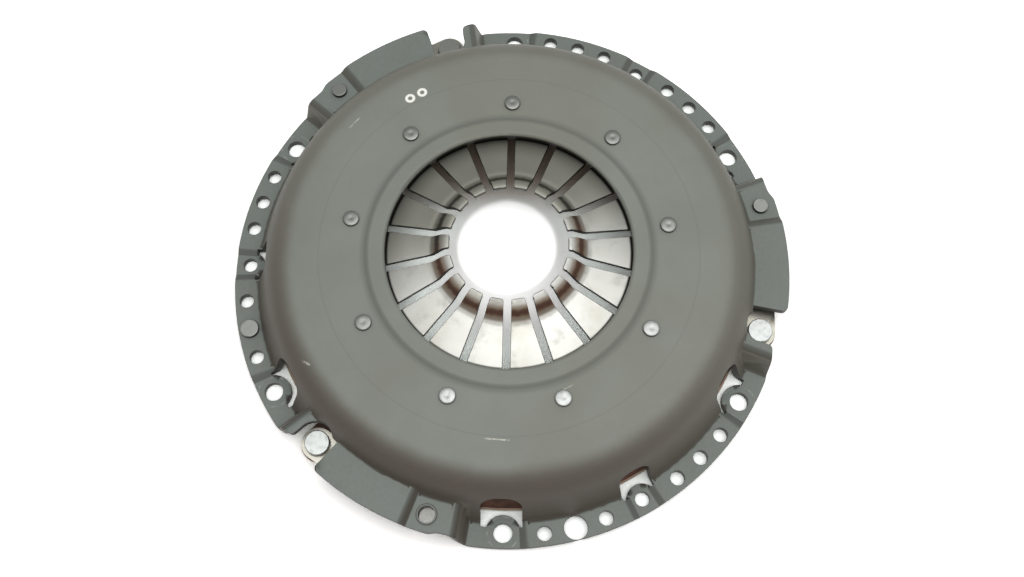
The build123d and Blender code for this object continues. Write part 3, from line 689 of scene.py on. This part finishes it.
@dataclass(frozen=True)
class ZincPlate:
    """Zinc-plated rivet steel, with painted shade on the sides of a head and on the far side."""

    name: str = "zinc_plate"
    bright: Colour = (0.40, 0.41, 0.40)
    dull: Colour = (0.25, 0.255, 0.245)
    # painted shade on the sides of a head, and on the rivets of the far side
    side: Colour = (0.03, 0.03, 0.028)
    far_shade: Colour = (0.20, 0.205, 0.19)
    blotches: Noise = Noise(420.0, 4.0, 0.6)
    dulled: Fade = Fade(0.45, 0.75, 0.6)
    lean: float = 0.3                  # how far the side with painted shade leans from +Y towards -X
    far_shade_side: Fade = Fade(-80 * MM, -15 * MM, 0.85)
    side_face: Fade = Fade(0.45, 0.2, 0.9)
    roughness: float = 0.36
    blotch_roughness: float = 0.12
    scratches: Noise = Noise(2600.0, 2.0, 0.6)
    scratch_depth: float = 0.012 * MM
    scratch_strength: float = 0.5

    def build(self) -> bpy.types.Material:
        """Material with faint blotches, fine scratches and painted shade.

        Returns:
            The rivets' finish.
        """
        kit = NodeKit(self.name)
        x, y, _ = kit.axes()
        blotches = kit.noise(self.blotches)
        colour = kit.mix(blotches.fade(self.dulled), self.bright, self.dull)
        # painted shade on the far side and on the sides of each head
        colour = kit.mix((y - x * self.lean).fade(self.far_shade_side), colour, self.far_shade)
        colour = kit.mix(kit.upward().fade(self.side_face), colour, self.side)
        return kit.finish({
            "Base Color": colour, "Metallic": 1.0,
            "Roughness": self.roughness + blotches * self.blotch_roughness,
            "Normal": kit.bump(kit.noise(self.scratches), self.scratch_depth, self.scratch_strength)})


@dataclass(frozen=True)
class RolledStrip:
    """Smooth rolled strip of the leaf straps."""

    steel: Colour = (0.34, 0.33, 0.29)
    stain_and_shade: Colour = (0.25, 0.23, 0.17)
    stains: Noise = Noise(160.0, 4.0, 0.6)
    stained_and_shaded: Fade = Fade(0.45, 0.75, 0.6)
    roughness: float = 0.27
    stain_roughness: float = 0.1
    grain: Noise = Noise(1.0, 2.0, 0.5)
    grain_stretch: tuple[float, float, float] = (2600.0, 260.0, 260.0)
    grain_height: float = 0.006 * MM
    grain_strength: float = 0.4

    def build(self) -> bpy.types.Material:
        """Material with a faint rolling grain and pale stains.

        Returns:
            The straps' finish.
        """
        kit = NodeKit("rolled_strip")
        stains = kit.noise(self.stains)
        grain = kit.noise(self.grain, kit.stretched(self.grain_stretch))
        return kit.finish({
            "Base Color": kit.mix(stains.fade(self.stained_and_shaded), self.steel, self.stain_and_shade), "Metallic": 1.0,
            "Roughness": self.roughness + stains * self.stain_roughness,
            "Normal": kit.bump(grain, self.grain_height, self.grain_strength)})


@dataclass(frozen=True)
class DrawnWire:
    """Drawn steel wire of the pivot rings, with a light film of oil."""

    steel: Colour = (0.36, 0.36, 0.35)
    oil_and_shade: Colour = (0.18, 0.17, 0.16)
    oil_share: float = 0.4
    mottle: Noise = Noise(500.0, 3.0, 0.6)
    roughness: float = 0.33
    mottle_roughness: float = 0.1

    def build(self) -> bpy.types.Material:
        """Material with a faint mottle.

        Returns:
            The pivot rings' finish.
        """
        kit = NodeKit("drawn_wire")
        mottle = kit.noise(self.mottle)
        return kit.finish({
            "Base Color": kit.mix(mottle * self.oil_share, self.steel, self.oil_and_shade), "Metallic": 1.0,
            "Roughness": self.roughness + mottle * self.mottle_roughness})


@dataclass(frozen=True)
class CastIron:
    """Brown casting skin with turned bands at the friction face, the rim and the fulcrum."""

    skin: Colour = linear(112, 78, 64)
    skin_dark: Colour = linear(70, 50, 42)
    skin_pale: Colour = linear(140, 112, 92)
    turned: Colour = linear(205, 186, 168)
    turned_rusty: Colour = linear(190, 160, 138)
    rust: Noise = Noise(90.0, 5.0, 0.65)
    skin_rust: Fade = Fade(0.35, 0.7)
    turned_rust: Fade = Fade(0.5, 0.75, 0.4)
    sand: Noise = Noise(900.0, 4.0, 0.65)
    sandy: Fade = Fade(0.5, 0.8, 0.3)
    face: Fade = Fade(2.45 * MM, 2.35 * MM)                    # by height: the friction face
    rim: Fade = Fade(119.2 * MM, 119.3 * MM)
    rim_top: Fade = Fade(4.50 * MM, 4.45 * MM)
    fulcrum: Fade = Fade(19.2 * MM, 19.35 * MM)
    groove_pitch: float = 0.35 * MM
    groove_share: float = 0.12         # of the sand's height
    relief: float = 0.12 * MM
    relief_strength: float = 0.7
    turned_metallic: float = 0.5
    skin_roughness: float = 0.78
    turned_polish: float = 0.42

    def build(self) -> bpy.types.Material:
        """Material that knows which faces are turned from their place.

        Returns:
            The pressure plate's finish.
        """
        kit = NodeKit("cast_iron")
        x, y, z = kit.axes()
        radius = distance_from(x, y)
        rim = radius.fade(self.rim) * z.fade(self.rim_top)
        turned = z.fade(self.face).highest(rim).highest(z.fade(self.fulcrum))
        rust = kit.noise(self.rust)
        sand = kit.noise(self.sand)
        skin = kit.mix(rust.fade(self.skin_rust), self.skin, self.skin_dark)
        skin = kit.mix(sand.fade(self.sandy), skin, self.skin_pale)
        bright = kit.mix(rust.fade(self.turned_rust), self.turned, self.turned_rusty)
        groove = kit.maths("SINE", radius * (math.tau / self.groove_pitch))
        height = sand * (1 - turned) + groove * turned * self.groove_share
        return kit.finish({
            "Base Color": kit.mix(turned, skin, bright), "Metallic": turned * self.turned_metallic,
            "Roughness": self.skin_roughness - turned * self.turned_polish,
            "Normal": kit.bump(height, self.relief, self.relief_strength)})


# ------------------------------------------------------------------------------------------ mesh helpers
class Shading(Enum):
    """How sharp an edge must be, in degrees, before its two faces are shaded apart."""

    PRESSED = 34.0
    TURNED = 30.0


@dataclass(frozen=True)
class EdgeBreak:
    """Small round on the sharp edges of a piece."""

    width: float
    segments: int = 2
    angle: float = 40.0

    def add_to(self, piece: bpy.types.Object) -> None:
        """Give the piece a bevel that keeps to its sharp edges.

        Args:
            piece: The piece, whose mesh stays as it is.
        """
        bevel = piece.modifiers.new("edge_break", "BEVEL")
        bevel.width = self.width
        bevel.segments = self.segments
        bevel.limit_method = "ANGLE"
        bevel.angle_limit = math.radians(self.angle)
        bevel.use_clamp_overlap = False
        bevel.harden_normals = False


def place_piece(name: str, shape: bmesh.types.BMesh, material: bpy.types.Material,
                shading: Shading) -> bpy.types.Object:
    """Turn a bmesh into an object of the scene.

    Args:
        name: Name of the piece.
        shape: The bmesh, which is freed.
        material: Its finish.
        shading: How it is smoothed.

    Returns:
        The new object, at the origin.
    """
    mesh = bpy.data.meshes.new(name)
    shape.to_mesh(mesh)
    shape.free()
    mesh.shade_smooth()
    mesh.set_sharp_from_angle(angle=math.radians(shading.value))
    mesh.materials.clear()
    mesh.materials.append(material)
    piece = bpy.data.objects.new(name, mesh)
    bpy.context.scene.collection.objects.link(piece)
    return piece


def welded(node: str) -> bmesh.types.BMesh:
    """Bmesh of a CAD node with its loose triangles joined up.

    Args:
        node: Name of the node.

    Returns:
        A closed bmesh whose flat faces are whole again.
    """
    shape = bmesh.new()
    shape.from_mesh(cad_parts[node].data)
    bmesh.ops.remove_doubles(shape, verts=shape.verts, dist=WELD)
    bmesh.ops.dissolve_degenerate(shape, edges=shape.edges, dist=WELD)
    return shape


def settle(piece: bpy.types.Object) -> None:
    """Apply a piece's modifiers, so that its mesh is final.

    Args:
        piece: The piece, which gets a new mesh.
    """
    graph = bpy.context.evaluated_depsgraph_get()
    final = bpy.data.meshes.new_from_object(piece.evaluated_get(graph))
    piece.modifiers.clear()
    piece.data = final


def even_out(piece: bpy.types.Object) -> None:
    """Weight a piece's normals by area, so that flats beside rounds stay flat.

    Args:
        piece: The piece, whose sharp edges stay sharp.
    """
    weighted = piece.modifiers.new("even_normals", "WEIGHTED_NORMAL")
    weighted.keep_sharp = True
    weighted.weight = AREA_WEIGHT


def cut_away(piece: bpy.types.Object, cutter: bpy.types.Object) -> None:
    """Cut one closed piece out of another.

    Args:
        piece: The piece that stays.
        cutter: The piece to cut with, which is removed.
    """
    cut = piece.modifiers.new(cutter.name, "BOOLEAN")
    cut.operation = "DIFFERENCE"
    cut.solver = "EXACT"
    cut.object = cutter
    settle(piece)
    bpy.data.objects.remove(cutter)


@dataclass(frozen=True)
class Lathe:
    """A turned piece: its section from the axis outwards and back, in (radius, height) pairs."""

    section: Sequence[tuple[float, float]]
    steps: int
    edge: float                # bevel of its sharp edges
    edge_segments: int

    def shape(self) -> bmesh.types.BMesh:
        """Spin the section about Z into a closed bmesh.

        Returns:
            The turned shape, centred on the axis.
        """
        shape = bmesh.new()
        corners = [shape.verts.new((radius, 0.0, height)) for radius, height in self.section]
        edges = [shape.edges.new(pair) for pair in zip(corners, corners[1:])]
        if self.section[0][0] > 0:
            edges.append(shape.edges.new((corners[-1], corners[0])))
        bmesh.ops.spin(
            shape, geom=[*corners, *edges], cent=(0, 0, 0), axis=(0, 0, 1), dvec=(0, 0, 0),
            angle=math.tau, steps=self.steps, use_merge=True, use_duplicate=False)
        bmesh.ops.remove_doubles(shape, verts=shape.verts, dist=WELD)
        bmesh.ops.recalc_face_normals(shape, faces=shape.faces)
        sharp = [edge for edge in shape.edges
                 if edge.is_manifold and edge.calc_face_angle() > math.radians(Shading.TURNED.value)]
        bmesh.ops.bevel(shape, geom=sharp, offset=self.edge, affect="EDGES",
                        segments=self.edge_segments, profile=0.5, material=-1)
        return shape


def joined(shape: bmesh.types.BMesh, places: Sequence[Matrix]) -> bmesh.types.BMesh:
    """Copies of one shape in one bmesh.

    Args:
        shape: The shape, which is freed.
        places: One matrix for each copy.

    Returns:
        A new bmesh with every copy.
    """
    pattern = bpy.data.meshes.new("pattern")
    shape.to_mesh(pattern)
    shape.free()
    whole = bmesh.new()
    for place in places:
        start = len(whole.verts)
        whole.from_mesh(pattern)
        whole.verts.ensure_lookup_table()
        bmesh.ops.transform(whole, matrix=place, verts=whole.verts[start:])
    bpy.data.meshes.remove(pattern)
    return whole


def stand(radius: float, angle: float) -> Matrix:
    """Place at a radius and an angle, with X pointing outwards."""
    return Matrix.Rotation(math.radians(angle), 4, "Z") @ Matrix.Translation((radius, 0.0, 0.0))


# ------------------------------------------------------------------------------------------ sub-assemblies
@dataclass
class Finishes:
    """Every finish of the part, built once."""

    coat: bpy.types.Material = field(default_factory=lambda: PhosphateCoat().build())
    spring: bpy.types.Material = field(default_factory=lambda: SpringSteel().build())
    zinc: bpy.types.Material = field(default_factory=lambda: ZincPlate().build())
    bright_zinc: bpy.types.Material = field(default_factory=lambda: ZincPlate(
        "bright_zinc_plate", bright=(0.47, 0.49, 0.48), dull=(0.28, 0.30, 0.295)).build())
    strip: bpy.types.Material = field(default_factory=lambda: RolledStrip().build())
    wire: bpy.types.Material = field(default_factory=lambda: DrawnWire().build())
    iron: bpy.types.Material = field(default_factory=lambda: CastIron().build())


@dataclass(frozen=True)
class Window:
    """An arched opening in the wall above a hole of the flange, opened out to its full outline."""

    circle: float              # radius at which the hole stands
    lobe: float                # radius of the lobe that stays round the hole
    width: float
    top: float
    corner: float
    angle: float = 0.0
    shift: float = 0.0         # of the arch's middle from the hole, towards a greater angle
    inner: float = 106.0 * MM
    outer: float = 128.1 * MM
    bottom: float = -1.0 * MM
    corner_segments: int = 8
    lobe_segments: int = 64
    lobe_height: float = 60 * MM

    def build(self, finish: bpy.types.Material) -> bpy.types.Object:
        """Cutter for the opening: an upright arch less the lobe.

        Args:
            finish: Finish of the cut faces.

        Returns:
            The cutter, in its place.
        """
        arch = place_piece("window", self._arch(), finish, Shading.TURNED)
        lobe = place_piece("lobe", self._lobe(), finish, Shading.TURNED)
        cut_away(arch, lobe)
        return arch

    def _arch(self) -> bmesh.types.BMesh:
        """Upright arch that points outwards.

        Returns:
            A closed box with its two upper edges rounded.
        """
        shape = bmesh.new()
        middle = Vector(((self.inner + self.outer) / 2, self.shift, (self.bottom + self.top) / 2))
        size = (self.outer - self.inner, self.width, self.top - self.bottom, 1.0)
        bmesh.ops.create_cube(shape, size=1.0, matrix=Matrix.Translation(middle) @ Matrix.Diagonal(size))
        upper = [edge for edge in shape.edges
                 if all(vert.co.z > 0 for vert in edge.verts)
                 and abs(edge.verts[0].co.y - edge.verts[1].co.y) < WELD]
        bmesh.ops.bevel(shape, geom=upper, offset=self.corner, affect="EDGES",
                        segments=self.corner_segments, profile=0.5, material=-1)
        turn = Matrix.Rotation(math.radians(self.angle), 4, "Z")
        bmesh.ops.transform(shape, matrix=turn, verts=shape.verts)
        return shape

    def _lobe(self) -> bmesh.types.BMesh:
        """Cylinder round the hole, which the cutter leaves alone.

        Returns:
            An upright cylinder.
        """
        shape = bmesh.new()
        bmesh.ops.create_cone(
            shape, cap_ends=True, segments=self.lobe_segments, radius1=self.lobe, radius2=self.lobe,
            depth=self.lobe_height, matrix=stand(self.circle, self.angle))
        return shape


@dataclass
class Cover:
    """The pressed cover."""

    finishes: Finishes
    bolt_window: Window = Window(131.0 * MM, 8.42 * MM, 19.6 * MM, 25.4 * MM, 8.0 * MM)
    bolt_offset: float = 30.0          # from the middle of a strap sector to the bolt on each side of it
    bolt_shift: float = 0.9 * MM       # towards that strap sector
    middle_window: Window = Window(131.3 * MM, 7.42 * MM, 16.4 * MM, 22.8 * MM, 7.0 * MM)
    middle_offset: float = 60.0

    def windows(self) -> list[Window]:
        """Every window: one at each bolt, shifted towards its strap, and one at each middle hole.

        Returns:
            Nine windows, in their places.
        """
        windows = []
        for strap in STRAP_ANGLES:
            for side in (-1, 1):
                windows.append(replace(
                    self.bolt_window, angle=strap + side * self.bolt_offset, shift=-side * self.bolt_shift))
            windows.append(replace(self.middle_window, angle=strap + self.middle_offset))
        return windows

    def build(self) -> bpy.types.Object:
        """Welded and smoothed copy of the cover's solid, with its windows opened out.

        Returns:
            The cover, which rides on its body.
        """
        piece = place_piece("pressed_cover", welded("cover"), self.finishes.coat, Shading.PRESSED)
        for window in self.windows():
            cut_away(piece, window.build(self.finishes.coat))
        piece.data.shade_smooth()
        piece.data.set_sharp_from_angle(angle=math.radians(Shading.PRESSED.value))
        even_out(piece)
        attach(piece, COVER_BODY)
        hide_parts("cover")
        return piece


@dataclass
class DiaphragmSpring:
    """The spring with its fingers."""

    finishes: Finishes
    pivot_height: float = 26.5 * MM
    flat_share: float = 0.4            # share of its height that is left when the plate is lifted
    flat_angle: float = 0.3            # faces that turn less than this are one flat
    edge: EdgeBreak = EdgeBreak(0.35 * MM)

    def build(self) -> bpy.types.Object:
        """Smoothed copy of the spring.

        Returns:
            The spring, which rides on the cover's body.
        """
        shape = welded("diaphragm_spring")
        bmesh.ops.dissolve_limit(
            shape, angle_limit=math.radians(self.flat_angle), verts=shape.verts, edges=shape.edges)
        piece = place_piece("fingered_spring", shape, self.finishes.spring, Shading.PRESSED)
        self.edge.add_to(piece)
        settle(piece)
        piece.data.set_sharp_from_angle(angle=math.radians(Shading.PRESSED.value))
        even_out(piece)
        settle(piece)
        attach(piece, COVER_BODY)
        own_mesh(piece)
        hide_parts("diaphragm_spring")
        return piece


@dataclass
class PivotRings:
    """The two wire rings either side of the spring."""

    finishes: Finishes
    ring_steps: int = 144
    wire_steps: int = 20

    def build(self, node: str) -> bpy.types.Object:
        """One ring, spun from the wire's round section to the box of its node.

        Args:
            node: Name of the ring's node.

        Returns:
            The ring, which rides on the cover's body.
        """
        low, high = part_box(node)
        wire = (high.z - low.z) / 2
        shape = bmesh.new()
        middle = Matrix.Translation((high.x - wire, 0.0, (low.z + high.z) / 2))
        bmesh.ops.create_circle(
            shape, cap_ends=False, segments=self.wire_steps, radius=wire,
            matrix=middle @ Matrix.Rotation(math.pi / 2, 4, "X"))
        bmesh.ops.spin(
            shape, geom=[*shape.verts, *shape.edges], cent=(0, 0, 0), axis=(0, 0, 1), dvec=(0, 0, 0),
            angle=math.tau, steps=self.ring_steps, use_merge=True, use_duplicate=False)
        bmesh.ops.remove_doubles(shape, verts=shape.verts, dist=WELD)
        bmesh.ops.recalc_face_normals(shape, faces=shape.faces)
        piece = place_piece(node + "_wire", shape, self.finishes.wire, Shading.TURNED)
        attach(piece, COVER_BODY)
        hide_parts(node)
        return piece


@dataclass
class SpringRivets:
    """Nine shouldered rivets that hold the spring and its rings under the cover."""

    finishes: Finishes
    count: int = 9
    first_angle: float = 90.0
    circle: float = 78.0 * MM
    head: float = 3.95 * MM
    shank: float = 4.0 * MM
    tenon: float = 2.7 * MM
    collar: float = 9.0 * MM
    collar_height: float = 2.8 * MM
    head_height: float = 1.5 * MM
    head_edge: float = 0.25 * MM       # height of the slope round its crown
    crown_share: float = 0.85          # of the head's radius
    dimple_share: float = 0.30         # of the head's radius, at the top
    dimple_floor_share: float = 0.12
    dimple_depth: float = 0.12 * MM
    dimple_tip: float = 0.14 * MM
    under_cover: float = 31.2 * MM
    steps: int = 48
    edge: float = 0.15 * MM
    edge_segments: int = 2

    def build(self) -> bpy.types.Object:
        """All nine in one piece, with the dimple that the snap tool leaves in each head.

        Returns:
            The rivets, which ride on the cover's body.
        """
        low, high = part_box("spring_rivets")
        seat = high.z - self.head_height
        section = [
            (0.0, low.z), (self.collar, low.z), (self.collar, low.z + self.collar_height),
            (self.shank, low.z + self.collar_height), (self.shank, self.under_cover),
            (self.tenon, self.under_cover), (self.tenon, seat), (self.head, seat),
            (self.head, high.z - self.head_edge), (self.head * self.crown_share, high.z),
            (self.head * self.dimple_share, high.z),
            (self.head * self.dimple_floor_share, high.z - self.dimple_depth),
            (0.0, high.z - self.dimple_tip),
        ]
        shape = Lathe(section, self.steps, self.edge, self.edge_segments).shape()
        angles = [self.first_angle + index * 360 / self.count for index in range(self.count)]
        whole = joined(shape, [stand(self.circle, angle) for angle in angles])
        piece = place_piece("spring_rivet_set", whole, self.finishes.zinc, Shading.TURNED)
        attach(piece, COVER_BODY)
        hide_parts("spring_rivets")
        return piece


@dataclass
class Straps:
    """Leaf packs that carry the plate."""

    finishes: Finishes
    clamped: float = 8 * MM            # length past each rivet that doesn't bend

    def build_leaf(self, node: str) -> bpy.types.Object:
        """One leaf.

        Args:
            node: Name of the leaf's node.

        Returns:
            The leaf, in its place.
        """
        piece = place_piece(node + "_strip", welded(node), self.finishes.strip, Shading.TURNED)
        even_out(piece)
        settle(piece)
        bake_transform(piece)
        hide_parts(node)
        return piece

    def build(self) -> list[bpy.types.Object]:
        """All nine leaves.

        Returns:
            The leaves, pack by pack.
        """
        return [
            self.build_leaf(f"strap_{number}_leaf_{leaf}")
            for number, angle in enumerate(STRAP_ANGLES, 1)
            for leaf in range(1, LEAF_COUNT + 1)
        ]


@dataclass
class Rivets:
    """The strap rivets, the lug rivets and the balance rivet."""

    finishes: Finishes

    def build_copy(self, node: str, body: str, finish: bpy.types.Material) -> bpy.types.Object:
        """Smoothed copy of a rivet's solid.

        Args:
            node: Name of the rivet's node.
            body: Body that it rides on.
            finish: Its finish.

        Returns:
            The rivet.
        """
        piece = place_piece(node + "_body", welded(node), finish, Shading.TURNED)
        even_out(piece)
        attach(piece, body)
        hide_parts(node)
        return piece

    def build(self) -> list[bpy.types.Object]:
        """Every rivet but the spring's.

        Returns:
            The rivets, those on the cover first.
        """
        fixed = {
            "cover_strap_rivet_1": self.finishes.zinc,
            "cover_strap_rivet_2": self.finishes.zinc,
            "hollow_strap_rivet": self.finishes.coat,
            "balance_rivet": self.finishes.bright_zinc,
        }
        pieces = [self.build_copy(node, COVER_BODY, finish) for node, finish in fixed.items()]
        pieces += [self.build_copy(f"lug_rivet_{number}", PLATE_BODY, self.finishes.bright_zinc)
                   for number, _ in enumerate(STRAP_ANGLES, 1)]
        return pieces


@dataclass
class PressurePlate:
    """The cast ring."""

    finishes: Finishes

    def build(self) -> bpy.types.Object:
        """Smoothed copy of the plate's solid.

        Returns:
            The plate, which rides on its own body.
        """
        piece = place_piece("cast_plate", welded("pressure_plate"), self.finishes.iron, Shading.PRESSED)
        even_out(piece)
        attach(piece, PLATE_BODY)
        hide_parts("pressure_plate")
        return piece


# ------------------------------------------------------------------------------------------ studio
@dataclass(frozen=True)
class Viewpoint:
    """Where the camera stands."""

    target: tuple[float, float, float] = (1.666 * MM, -9.626 * MM, 4.0 * MM)
    distance: float = 568.506 * MM
    elevation: float = 70.909
    heading: float = 1.32
    roll: float = -0.076
    lens: float = 39.6714
    sensor: float = 36.0
    clip: tuple[float, float] = (0.01, 20.0)

    def build(self) -> bpy.types.Object:
        """Camera of the scene.

        Returns:
            The camera, which the scene renders from.
        """
        data = bpy.data.cameras.new("studio_camera")
        data.lens = self.lens
        data.sensor_width = self.sensor
        data.clip_start, data.clip_end = self.clip
        camera = bpy.data.objects.new("studio_camera", data)
        bpy.context.scene.collection.objects.link(camera)
        turn = Matrix.Rotation(math.radians(self.heading), 4, "Z")
        turn = turn @ Matrix.Rotation(math.radians(90 - self.elevation), 4, "X")
        back = Matrix.Translation(turn @ Vector((0.0, 0.0, self.distance)))
        roll = Matrix.Rotation(math.radians(self.roll), 4, "Z")
        camera.matrix_world = Matrix.Translation(self.target) @ back @ turn @ roll
        bpy.context.scene.camera = camera
        return camera


@dataclass(frozen=True)
class Softbox:
    """A rectangular lamp that looks straight down at the part."""

    name: str = "overhead_softbox"
    place: tuple[float, float, float] = (0.13, -0.05, 1.15)
    width: float = 1.24        # along X, before it is turned
    depth: float = 1.00        # along Y, before it is turned
    radiance: float = 2.8
    turn: float = 16.0         # about the vertical

    def build(self) -> bpy.types.Object:
        """Area lamp whose face has the stated radiance.

        Returns:
            The lamp, in its place.
        """
        data = bpy.data.lights.new(self.name, "AREA")
        data.shape = "RECTANGLE"
        data.size = self.width
        data.size_y = self.depth
        data.energy = self.radiance * self.width * self.depth * math.pi
        lamp = bpy.data.objects.new(self.name, data)
        bpy.context.scene.collection.objects.link(lamp)
        lamp.location = self.place
        lamp.rotation_euler.z = math.radians(self.turn)
        return lamp


@dataclass(frozen=True)
class Surroundings:
    """Room around the part: a warm dim near side, a paler far side and an even ceiling."""

    near: Colour = (0.34, 0.29, 0.26)
    far: Colour = (0.60, 0.61, 0.60)
    ceiling: Colour = (0.42, 0.42, 0.41)
    far_side: Fade = Fade(-0.45, 0.75)         # by how far a direction points to +Y
    overhead: Fade = Fade(0.35, 0.75)          # by how far it points up

    def build(self) -> None:
        """World whose colour follows the direction."""
        world = bpy.data.worlds.new("studio_world")
        bpy.context.scene.world = world
        world.use_nodes = True
        kit = NodeKit("studio_world", world.node_tree)
        _, y, z = kit.axes("Generated")
        colour = kit.mix(y.fade(self.far_side), self.near, self.far)
        colour = kit.mix(z.fade(self.overhead), colour, self.ceiling)
        kit.end_in(kit.node("ShaderNodeBackground", sockets={"Color": colour}), "ShaderNodeOutputWorld")


@dataclass(frozen=True)
class Floor:
    """White floor that keeps the part's shadow and shows between its fingers and through its holes."""

    size: float = 12.0
    height: float = -0.1 * MM
    shade: float = 0.36                # as the part itself sees it
    open_floor: Colour = (1.45, 1.45, 1.45)
    # painted light: a brighter pool under the part's opening, with a greyer ring round it
    spot: Colour = (2.6, 2.6, 2.6)     # brightest, in the opening of the part
    spot_middle: tuple[float, float] = (-1.4 * MM, 14.9 * MM)
    spot_edge: Fade = Fade(27.0 * MM, 23.0 * MM)
    ring: Colour = (1.0, 1.0, 0.98)    # round that spot
    # painted light under the fingers and the flange's holes, and painted shade under the far slots
    slots: Colour = (2.25, 2.4, 2.3)   # under the fingers
    far_slots: Colour = (0.55, 0.45, 0.37)
    flange: Colour = (1.5, 1.56, 1.52)         # under the flange's holes
    far_side: Fade = Fade(18 * MM, 55 * MM)
    slot_start: Fade = Fade(26 * MM, 50 * MM)
    flange_start: Fade = Fade(85 * MM, 105 * MM)
    uncovered: Fade = Fade(0.20, 0.62)         # share of open sky from under the part to clear of it
    sky_reach: float = 90 * MM         # how far that share is measured
    sky_samples: int = 16

    def build(self) -> bpy.types.Object:
        """The floor, which reads white to the camera and grey to the part.

        Returns:
            The floor, which is stage and no piece.
        """
        kit = NodeKit("studio_floor")
        path = kit.node("ShaderNodeLightPath", output="Is Camera Ray")
        rays = path.socket.node.outputs
        glossy, through = (Channel(kit, rays[f"Is {kind} Ray"]) for kind in ("Glossy", "Transmission"))
        seen = highest_of([path, glossy, through])
        lit = kit.node("ShaderNodeBsdfDiffuse", sockets={"Color": (self.shade,) * 3})
        white = kit.node("ShaderNodeBsdfDiffuse", sockets={"Color": self._whiteness(kit)})
        kit.end_in(kit.node("ShaderNodeMixShader", sockets={0: seen, 1: lit, 2: white}))
        shape = bmesh.new()
        bmesh.ops.create_grid(shape, x_segments=1, y_segments=1, size=self.size / 2,
                              matrix=Matrix.Translation((0.0, 0.0, self.height)))
        floor = place_piece("studio_floor", shape, kit.material, Shading.TURNED)
        return floor

    def _whiteness(self, kit: NodeKit) -> Channel:
        """Colour of the floor by its place and by how much sky it sees, with painted light and shade under
        the part.

        Args:
            kit: The floor's kit.

        Returns:
            The colour that the camera sees.
        """
        x, y, _ = kit.axes()
        radius = distance_from(x, y)
        sky = kit.node("ShaderNodeAmbientOcclusion", {"samples": self.sky_samples},
                       {"Distance": self.sky_reach}, output="AO")
        # painted light and shade under the part
        under = kit.mix(y.fade(self.far_side), self.slots, self.far_slots)
        under = kit.mix(radius.fade(self.slot_start), self.ring, under)
        under = kit.mix(radius.fade(self.flange_start), under, self.flange)
        # where the part covers the sky, the floor takes the painted colours set for under it
        colour = kit.mix(sky.fade(self.uncovered), under, self.open_floor)
        spot = distance_from(x - self.spot_middle[0], y - self.spot_middle[1]).fade(self.spot_edge)
        return kit.mix(spot, colour, self.spot)


def build_studio() -> None:
    """Set the floor, the room, the lamp and the camera up."""
    Floor().build()
    Surroundings().build()
    Softbox().build()
    Viewpoint().build()
    bpy.context.scene.view_settings.view_transform = "Standard"


def main() -> None:
    """Build every sub-assembly in order and report each piece."""
    logging.basicConfig(level=logging.INFO, format="%(name)s: %(message)s")
    finishes = Finishes()
    pieces = [Cover(finishes).build(), DiaphragmSpring(finishes).build()]
    rings = PivotRings(finishes)
    pieces += [rings.build("upper_pivot_ring"), rings.build("lower_pivot_ring")]
    pieces.append(SpringRivets(finishes).build())
    pieces += Straps(finishes).build()
    pieces += Rivets(finishes).build()
    pieces.append(PressurePlate(finishes).build())
    for piece in pieces:
        LOG.info("%s: %d faces", piece.name, len(piece.data.polygons))
    build_studio()


if __name__ == "__main__":
    main()
